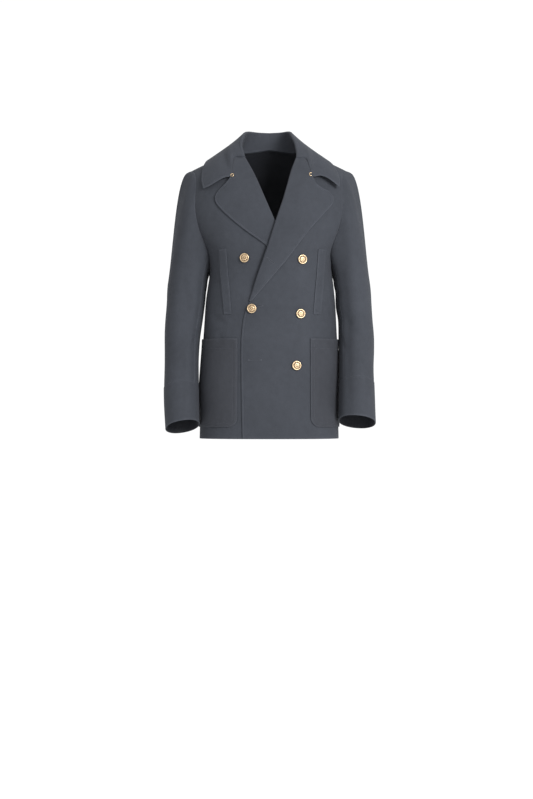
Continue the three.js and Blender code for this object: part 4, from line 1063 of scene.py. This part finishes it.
# %% Making both sleeves
for side, word in ((1, "left"), (-1, "right")):
    seam_f, seam_b = math.radians(SEAM_FRONT), math.radians(SEAM_BACK)
    for name, a, b, cols in (("top", seam_f, seam_b, 96), ("under", seam_b - 2 * np.pi, seam_f, 48)):
        step = np.array([0, 0.008, 0.017, 0.029, 0.048, 0.085])
        turns = a + spread(b - a, step, step, cols)
        wide = np.concatenate([[2 * turns[0] - turns[1]], turns, [2 * turns[-1] - turns[-2]]])
        rows, n = sleeve_rows(side, word, wide)
        out = grain(rows, False, -side)[:, 1:-1]
        rows, n = rows[:, 1:-1], n[1:-1]
        away = dot(unit(rows[1] - rows[0]), n) < 0
        out[0] = np.where(away, n, out[0])
        sink(rows, out, ["left", "right", "last"])
        sink(rows, out, ["first"], 0.35, 0.8)
        obj = cloth(f"coat_sleeve_{name}_{word}", rows, out)
        place(obj, [f"sleeve_{name}_{word}"], wool)

# %% [markdown]
# A cuff is one closed band, a little wider than the sleeve, with a row of stitches just below its seam.

# %% Cuffs
for side, word in ((1, "left"), (-1, "right")):
    turns = np.linspace(0, 2 * np.pi, 181)[:-1]
    tall = CUFF_TOP[side] - CUFF_END[side]
    down = np.concatenate([[0, 0.5, 1, 1.8, 2.8, 3.5, 4.2, 4.9, 6, 8],
                           np.linspace(8, tall - 5, 36)[1:], tall - np.array([3, 1.6, 0.6, 0])])
    band = ring_point(side, CUFF_TOP[side] - down[:, None], turns[None])
    out = grain(band, True, -side)
    band += out * (0.9 * ease(down / 3))[:, None, None]
    near = off_edge(band, "first")
    band += out * quilt(near)
    band -= out * (0.6 * np.exp(-((near / 0.9) ** 2)))[..., None]
    place(cloth(f"coat_cuff_{word}", band, out, ring=True), [f"cuff_{word}"], wool)
    closed, closed_out = np.concatenate([band, band[:, :1]], 1), np.concatenate([out, out[:, :1]], 1)
    p, n = row_at(closed, closed_out, STITCH_IN, "first")
    place(sew(f"stitches_cuff_{word}", [along_line(p, n, trim=0)]), [], thread)

# %% [markdown]
# ## Patch pockets
# A patch pocket is a flat piece with two round corners, sewn on by two rows of stitches, 2 mm and 10 mm
# from its edge. Its top is hemmed and open. Both corners and rows are drawn in the pocket's own flat
# measures, across and up, and then laid round the coat.

# %% A point of a pocket
POCKET = {"wide": 190, "top": -486, "bottom": -707, "corner": 25, 1: 102, -1: -79}
TALL = POCKET["top"] - POCKET["bottom"]
POCKET_GAP, HEM_ROW, EDGE_ROWS = 1.2, 24, (2.2, 10.2)


def pocket_point(side, across, up, off=0.0):
    across, up = np.broadcast_arrays(np.asarray(across, float), np.asarray(up, float))
    z = POCKET["bottom"] + up.ravel()
    start, along = on_front(np.full(len(z), float(POCKET[side])), z)
    line = mix(start[:, None], side * math.radians(150), np.linspace(0, 1, 241))
    run = lengths(bare(line, along[:, None]), 1)
    angles = np.array([np.interp(w, q, a) for w, q, a in zip(across.ravel(), run, line)])
    angles, along = angles.reshape(across.shape), along.reshape(across.shape)
    p = bare(angles, along)
    lift = POCKET_GAP + TRIM + off + (over(p[..., 0], p[..., 2]) if side > 0 else 0)
    return skin(angles, along, lift), outward(angles, along)


def pocket_inset(across, up):
    r, wide = POCKET["corner"], POCKET["wide"]
    a, b = np.minimum(across, wide - across), up
    near = np.minimum(np.minimum(a, b), TALL - up)
    corner = (a < r) & (b < r)
    return np.where(corner, r - np.hypot(r - a, r - b), near)


def pocket_line(inset):
    r, wide = POCKET["corner"] - inset, POCKET["wide"]
    a = np.linspace(0, np.pi / 2, 14)
    turn_in, turn_up = r * (1 - np.cos(a)), r * (1 - np.sin(a))
    foot = np.linspace(inset + r, wide - inset - r, 30)[1:-1]
    rise = np.linspace(TALL - 2, POCKET["corner"], 31)[:-1]
    across = np.concatenate([[inset] * 30, inset + turn_in, foot,
                             wide - inset - turn_up, [wide - inset] * 30])
    up = np.concatenate([rise, inset + turn_up, [inset] * 28, inset + turn_in, rise[::-1]])
    return across, up


# %% Making both pockets
STEPS = np.array([0, 0.5, 1.1, 1.7, 2.4, 3.2, 4.4, 6.2, 8, 9, 9.6, 10.2, 10.8, 11.8, 13.5, 17, 21, 26])
for side, word in ((1, "left"), (-1, "right")):
    up = np.concatenate([STEPS, np.linspace(30, TALL - 28, 36),
                         TALL - np.array([26, 24.8, 24, 23.2, 22, 16, 10, 5, 2, 0.6, 0])])
    r = POCKET["corner"]
    cut_ = np.where(up < r, r - np.sqrt(np.maximum(r * r - (r - up) ** 2, 0)), 0)
    across = cut_[:, None] + spread(POCKET["wide"] - 2 * cut_, STEPS[:14], STEPS[:14], 30)
    grid_up = np.broadcast_to(up[:, None], across.shape)
    face, out = pocket_point(side, across, grid_up)
    near = pocket_inset(across, grid_up)
    below = ease((TALL - 6 - grid_up) / 6)
    dent = 0.34 * np.exp(-(((near - 2.2) / 0.7) ** 2)) + 0.34 * np.exp(-(((near - 10.2) / 0.8) ** 2))
    dent = dent * below + 0.34 * np.exp(-(((TALL - HEM_ROW - grid_up) / 0.9) ** 2))
    puff = 0.25 * np.sin(np.pi * np.clip((near - 2.2) / 8, 0, 1)) * below
    mouth = 1.1 * ease((grid_up - TALL + 26) / 26) * np.sin(np.pi * across / POCKET["wide"])
    face += out * (puff - dent + mouth)[..., None]
    pocket = cloth(f"coat_pocket_{word}", face, out, thick=TRIM)
    place(pocket, [f"pocket_{word}"], pocket_wool_painted_shade)
    rows = []
    for inset in EDGE_ROWS:
        p, n = pocket_point(side, *pocket_line(inset), -0.3)
        rows.append(along_line(p, n))
    s = np.linspace(3, POCKET["wide"] - 3, 60)
    p, n = pocket_point(side, s, TALL - HEM_ROW + 0 * s, -0.3)
    rows.append(along_line(p, n))
    for at in (6.2, POCKET["wide"] - 6.2):
        p, n = pocket_point(side, np.array([at, at]), np.array([TALL - 2.5, TALL - 12]), 0.0)
        rows.append(bar_tack(p[0], n[0], p[1] - p[0], 9.0))
    place(sew(f"stitches_pocket_{word}", rows), [], thread)

# %% [markdown]
# ## Welt pockets
# A welt is a steep narrow band with a pocket mouth beside it. Its outer edge stands off the coat a
# little, and a row of flat stitches painted black beside and below it is painted shade for the mouth. A frame
# of stitches goes round it, and a bar tack holds each end.

# %% Making both welts
WELT = {"top": -261, "bottom": -424, "wide": 18, 1: (131, 118.5), -1: (-116, -103)}
WELT_OFF = 0.8 + TRIM


def welt_point(side, share_, across, off=0.0):
    top, low = WELT[side]
    z = mix(WELT["bottom"], WELT["top"], share_)
    return chest(side, mix(low, top, share_) + side * across, z + 0 * across, off)


for side, word in ((1, "left"), (-1, "right")):
    half_ = WELT["wide"] / 2
    s = np.concatenate([[0, 0.003, 0.008, 0.015, 0.025], np.linspace(0.025, 0.975, 76)[1:-1],
                        1 - np.array([0.025, 0.015, 0.008, 0.003, 0])])
    across = np.array([-9, -8.6, -8, -7.2, -6.4, -5.6, -4.6, -2, 1, 4, 6, 7, 7.8, 8.5, 9])
    open_ = ease((across[None] + 2) / 10) * np.sin(np.pi * np.clip((s[:, None] - 0.04) / 0.92, 0, 1)) ** 0.5
    face, out = welt_point(side, s[:, None], across[None], WELT_OFF + 1.0 * open_)
    near = np.minimum(half_ + across[None] + 0 * s[:, None], 163 * np.minimum(s, 1 - s)[:, None])
    face += out * (-0.34 * np.exp(-(((near - 2.4) / 0.8) ** 2)))[..., None]
    place(cloth(f"coat_welt_{word}", face, out, thick=TRIM), [f"welt_{word}"], wool)
    rows, t = [], np.linspace(0.014, 0.986, 70)
    rows.append(along_line(*welt_point(side, t, -6.6 + 0 * t, WELT_OFF - 0.3)))
    t = np.linspace(-0.004, 1.004, 70)
    for at in (-11.0, 12.2):
        rows.append(along_line(*welt_point(side, t, at + 0 * t, 0.0)))
    for end_ in (-0.014, 1.014):
        a = np.linspace(-11, 12.2, 12)
        rows.append(along_line(*welt_point(side, end_ + 0 * a, a, 0.0), trim=0.5))
    # A row of flat stitches painted black along the outer edge is painted shade for the mouth of the pocket.
    t = np.linspace(0.03, 0.97, 60)
    rows.append(along_line(*welt_point(side, t, 9.7 + 0 * t, 0.25), 6.4, 4.4, 0.9, 0.2, 1.0, 0))
    for end_, step in ((0.018, 0.03), (0.982, 0.97)):
        p, n = welt_point(side, np.array([end_, step]), np.array([4.5, 4.5]), WELT_OFF)
        rows.append(bar_tack(p[0], n[0], p[1] - p[0], 10.0))
    place(sew(f"stitches_welt_{word}", rows), [], thread)

# %% [markdown]
# ## Buttons
# A button of this kind is pressed from brass sheet: a dome with a rolled rim, a ring of beads and a plain
# rosette of nine petals. One is modelled: a cylinder is the shank, its top face is extruded and
# scaled ring by ring, then beads and petals are inset and raised. The five on the coat are copies of it.

# %% One button
RINGS = [(10.4, 2.9), (11.35, 3.4), (11.6, 4.1), (11.45, 5.0), (10.9, 5.55), (10.2, 5.75), (9.5, 5.6),
         (9.0, 5.25), (8.7, 5.1), (7.6, 5.25), (7.1, 5.35), (5.3, 5.9), (3.1, 6.25), (2.7, 6.2), (2.2, 6.3),
         (1.4, 6.55), (0.5, 6.65)]
bpy.ops.object.select_all(action="DESELECT")
bpy.ops.mesh.primitive_cylinder_add(vertices=72, radius=0.0032, depth=0.0022, location=(0, 0, 0.0011))
model = bpy.context.object
bpy.ops.object.transform_apply(location=True)
bpy.ops.object.mode_set(mode="EDIT")


def pick_faces(test):
    mesh = bmesh.from_edit_mesh(model.data)
    for f in mesh.faces:
        f.select_set(bool(test(f)))
    bmesh.update_edit_mesh(model.data)
    return sum(f.select for f in mesh.faces)


def polar(f):
    c = f.calc_center_median() * 1000
    return math.hypot(c.x, c.y), c.z, int(((math.degrees(math.atan2(c.y, c.x)) - 2.5) / 5) % 72 + 0.5) % 72


def pick_ring(inner, outer, above, columns):
    def inside(f):
        r, z, column = polar(f)
        return len(f.verts) == 4 and inner < r < outer and z > above and columns(column)

    return pick_faces(inside)


bpy.ops.mesh.select_mode(type="FACE")
pick_faces(lambda f: len(f.verts) > 4 and f.normal.z > 0.9)
radius, height = 3.2, 2.2
for r, h in RINGS:
    bpy.ops.mesh.extrude_region_move(TRANSFORM_OT_translate={"value": (0, 0, (h - height) / 1000)})
    bpy.ops.transform.resize(value=(r / radius, r / radius, 1), center_override=(0, 0, 0))
    radius, height = r, h
beads = pick_ring(7.7, 8.6, 4, lambda column: column % 2 == 0)
bpy.ops.mesh.inset(thickness=0.00010, depth=0.00042, use_individual=True)
petals = pick_ring(3.2, 7.0, 5, lambda column: column % 8 in range(1, 7))
bpy.ops.mesh.inset(thickness=0.00030, depth=0.00034)
bpy.ops.mesh.select_all(action="SELECT")
bpy.ops.mesh.normals_make_consistent(inside=False)
bpy.ops.object.mode_set(mode="OBJECT")
smooth = model.modifiers.new("round", "SUBSURF")
smooth.levels = smooth.render_levels = 1
bpy.ops.object.modifier_apply(modifier="round")
bpy.ops.object.shade_smooth()
print("button:", beads, "bead faces,", petals, "petal faces,", len(model.data.polygons), "faces")

# %% [markdown]
# The value low compares each point with the button's outline without relief, so that the old dark film
# lies between the beads and petals. Each copy is turned to stand square on its cloth.

# %% The five buttons
BUTTONS = [("top_left", -60.4, -284.5), ("top_right", 79.8, -288.7), ("mid_left", -42.3, -411.4),
           ("mid_right", 77.3, -424.0), ("low_right", 67.3, -553.6)]
shape = np.array([v.co[:] for v in model.data.vertices]) * 1000
r = np.hypot(shape[:, 0], shape[:, 1])
crest = np.interp(r, [0, 3, 5.3, 7.1, 8.1, 9.4, 10.2, 10.9, 11.6],
                  [6.72, 6.6, 6.2, 5.75, 5.55, 5.6, 5.75, 5.5, 4.0])
low = np.clip((crest - shape[:, 2]) / 0.34 - 0.15, 0, 1)
for name, x, z in BUTTONS:
    side = -1 if name == "top_left" else 1
    p, n = chest(side, x, z, 0.25)
    u = unit(np.cross([0, 0, 1.0], n))
    v = np.cross(n, u)
    mesh = model.data.copy()
    moved = (p + shape[:, :1] * u + shape[:, 1:2] * v + shape[:, 2:] * n) / 1000
    mesh.vertices.foreach_set("co", moved.astype(np.float32).ravel())
    mesh.attributes.new("low", "FLOAT", "POINT").data.foreach_set("value", low.astype(np.float32))
    mesh.update()
    obj = bpy.data.objects.new(f"coat_button_{name}", mesh)
    bpy.context.scene.collection.objects.link(obj)
    place(obj, [f"button_{name}"], brass)
bpy.data.objects.remove(model)

# %% [markdown]
# ## Hook and eye
# Both are bent from brass wire 1.8 mm thick. A curve through points of an arc, with a round bevel, is
# turned into a mesh.

# %% Hook and eye
WIRE = 0.9


def bent(name, node, side, x, z, radius, first, last, turns=28):
    p, n = chest(side, x, z, TURNED + SEAM_LIFT + WIRE + GAP)
    u = unit(vec(1, 0, 0) - n * n[..., :1])
    v = unit(np.cross(n, u))
    curve = bpy.data.curves.new(name, "CURVE")
    curve.dimensions, curve.use_fill_caps = "3D", True
    curve.bevel_depth, curve.bevel_resolution = WIRE / 1000, 3
    spline = curve.splines.new("POLY")
    spline.points.add(turns)
    for k in range(turns + 1):
        a = math.radians(mix(first, last, k / turns))
        at = (p + u * radius * math.cos(a) + v * radius * math.sin(a)) / 1000
        spline.points[k].co = (*at, 1)
    obj = bpy.data.objects.new(name, curve)
    bpy.context.scene.collection.objects.link(obj)
    bpy.ops.object.select_all(action="DESELECT")
    obj.select_set(True)
    bpy.context.view_layer.objects.active = obj
    bpy.ops.object.convert(target="MESH")
    bpy.ops.object.shade_smooth()
    obj.data.attributes.new("low", "FLOAT", "POINT")
    return place(obj, [node], brass)


bent("coat_collar_eye", "collar_eye", -1, -90, -80, 3.6, -80, 250)
bent("coat_collar_hook", "collar_hook", 1, 101.5, -79, 4.0, 60, 290)

# %% [markdown]
# ## The cut of the cloth
# Every piece has the size of the flat piece that a cutter lays out listed in a table: its width and
# length, its area where it isn't a rectangle, and what it hangs from or lies on. The table is only read
# and counted here; no sheet is declared. The widths and lengths are estimates, and the areas were set near
# those of the modelled pieces. No pattern of a real coat was at hand.

# %% Sheets
CUT = {  # width and length in metres, area in square metres, what it hangs from or lies on
    "front_left": (0.32, 0.80, 0.210, ["coat_back", "coat_front_right"]),
    "front_right": (0.33, 0.80, 0.215, ["coat_back"]),
    "back": (0.45, 0.80, 0.300, ["coat_front_left", "coat_front_right"]),
    "lapel_left": (0.17, 0.38, 0.030, ["coat_front_left"]),
    "lapel_right": (0.16, 0.31, 0.024, ["coat_front_right"]),
    "collar": (0.60, 0.17, 0.084, ["coat_back", "coat_front_left", "coat_front_right"]),
    "sleeve_top_left": (0.25, 0.58, 0.121, ["coat_front_left", "coat_back"]),
    "sleeve_top_right": (0.25, 0.59, 0.124, ["coat_front_right", "coat_back"]),
    "sleeve_under_left": (0.11, 0.42, 0.036, ["coat_sleeve_top_left"]),
    "sleeve_under_right": (0.11, 0.43, 0.036, ["coat_sleeve_top_right"]),
    "cuff_left": (0.32, 0.105, None, ["coat_sleeve_top_left"]),
    "cuff_right": (0.31, 0.105, None, ["coat_sleeve_top_right"]),
    "pocket_left": (0.19, 0.225, None, ["coat_front_left"]),
    "pocket_right": (0.19, 0.225, None, ["coat_front_right"]),
    "welt_left": (0.021, 0.17, None, ["coat_front_left"]),
    "welt_right": (0.021, 0.17, None, ["coat_front_right"])}
for name, (wide, long, area, rests) in CUT.items():
    obj = bpy.data.objects[f"coat_{name}"]
print("sheets:", len(CUT))

# %% [markdown]
# ## Floor, light and camera
# The floor and the world are plain and nearly white, as in a studio, so no horizon shows. Two large soft
# lights stand in front, the stronger one towards the wearer's left, and a weak one is above.

# %% Stage
bpy.ops.object.select_all(action="DESELECT")
bpy.ops.mesh.primitive_plane_add(size=30, location=(0, 0, -1.556))
floor = bpy.context.object
floor.name = "floor"
pale, tree, shader = material("pale_floor")
shader.inputs["Base Color"].default_value = (0.97, 0.97, 0.97, 1)
shader.inputs["Roughness"].default_value = 0.9
floor.data.materials.append(pale)
world = bpy.data.worlds.new("studio")
bpy.context.scene.world = world
world.use_nodes = True
world.node_tree.nodes["Background"].inputs["Color"].default_value = (1, 1, 1, 1)
world.node_tree.nodes["Background"].inputs["Strength"].default_value = 1.05
bpy.context.scene.view_settings.view_transform = "Standard"


def light(name, where, size, watts):
    data = bpy.data.lights.new(name, "AREA")
    data.shape, data.size, data.energy = "DISK", size, watts
    lamp = bpy.data.objects.new(name, data)
    bpy.context.scene.collection.objects.link(lamp)
    lamp.location = where
    way = -np.array(where) + np.array([0, 0, -0.35])
    flat = math.hypot(way[0], way[1])
    lamp.rotation_euler = (math.atan2(flat, -way[2]), 0, math.atan2(-way[0], way[1]))
    return lamp


light("key", (2.0, -3.3, 0.7), 1.6, 235)
light("fill", (-1.9, -3.4, 0.3), 2.0, 12)
light("top", (0, 0.4, 2.6), 1.6, 40)
DISTANCE, MM_A_PIXEL, PIXELS_WIDE, SENSOR = 5500, 2.55, 533, 36
camera_data = bpy.data.cameras.new("camera")
camera = bpy.data.objects.new("camera", camera_data)
bpy.context.scene.collection.objects.link(camera)
camera.location = (-0.0064, -DISTANCE / 1000, -0.638)
camera.rotation_euler = (math.pi / 2, 0, 0)
camera_data.sensor_fit = "HORIZONTAL"
camera_data.sensor_width = SENSOR
camera_data.lens = DISTANCE / MM_A_PIXEL / PIXELS_WIDE * SENSOR
bpy.context.scene.camera = camera

# %% Finish
bpy.context.view_layer.update()
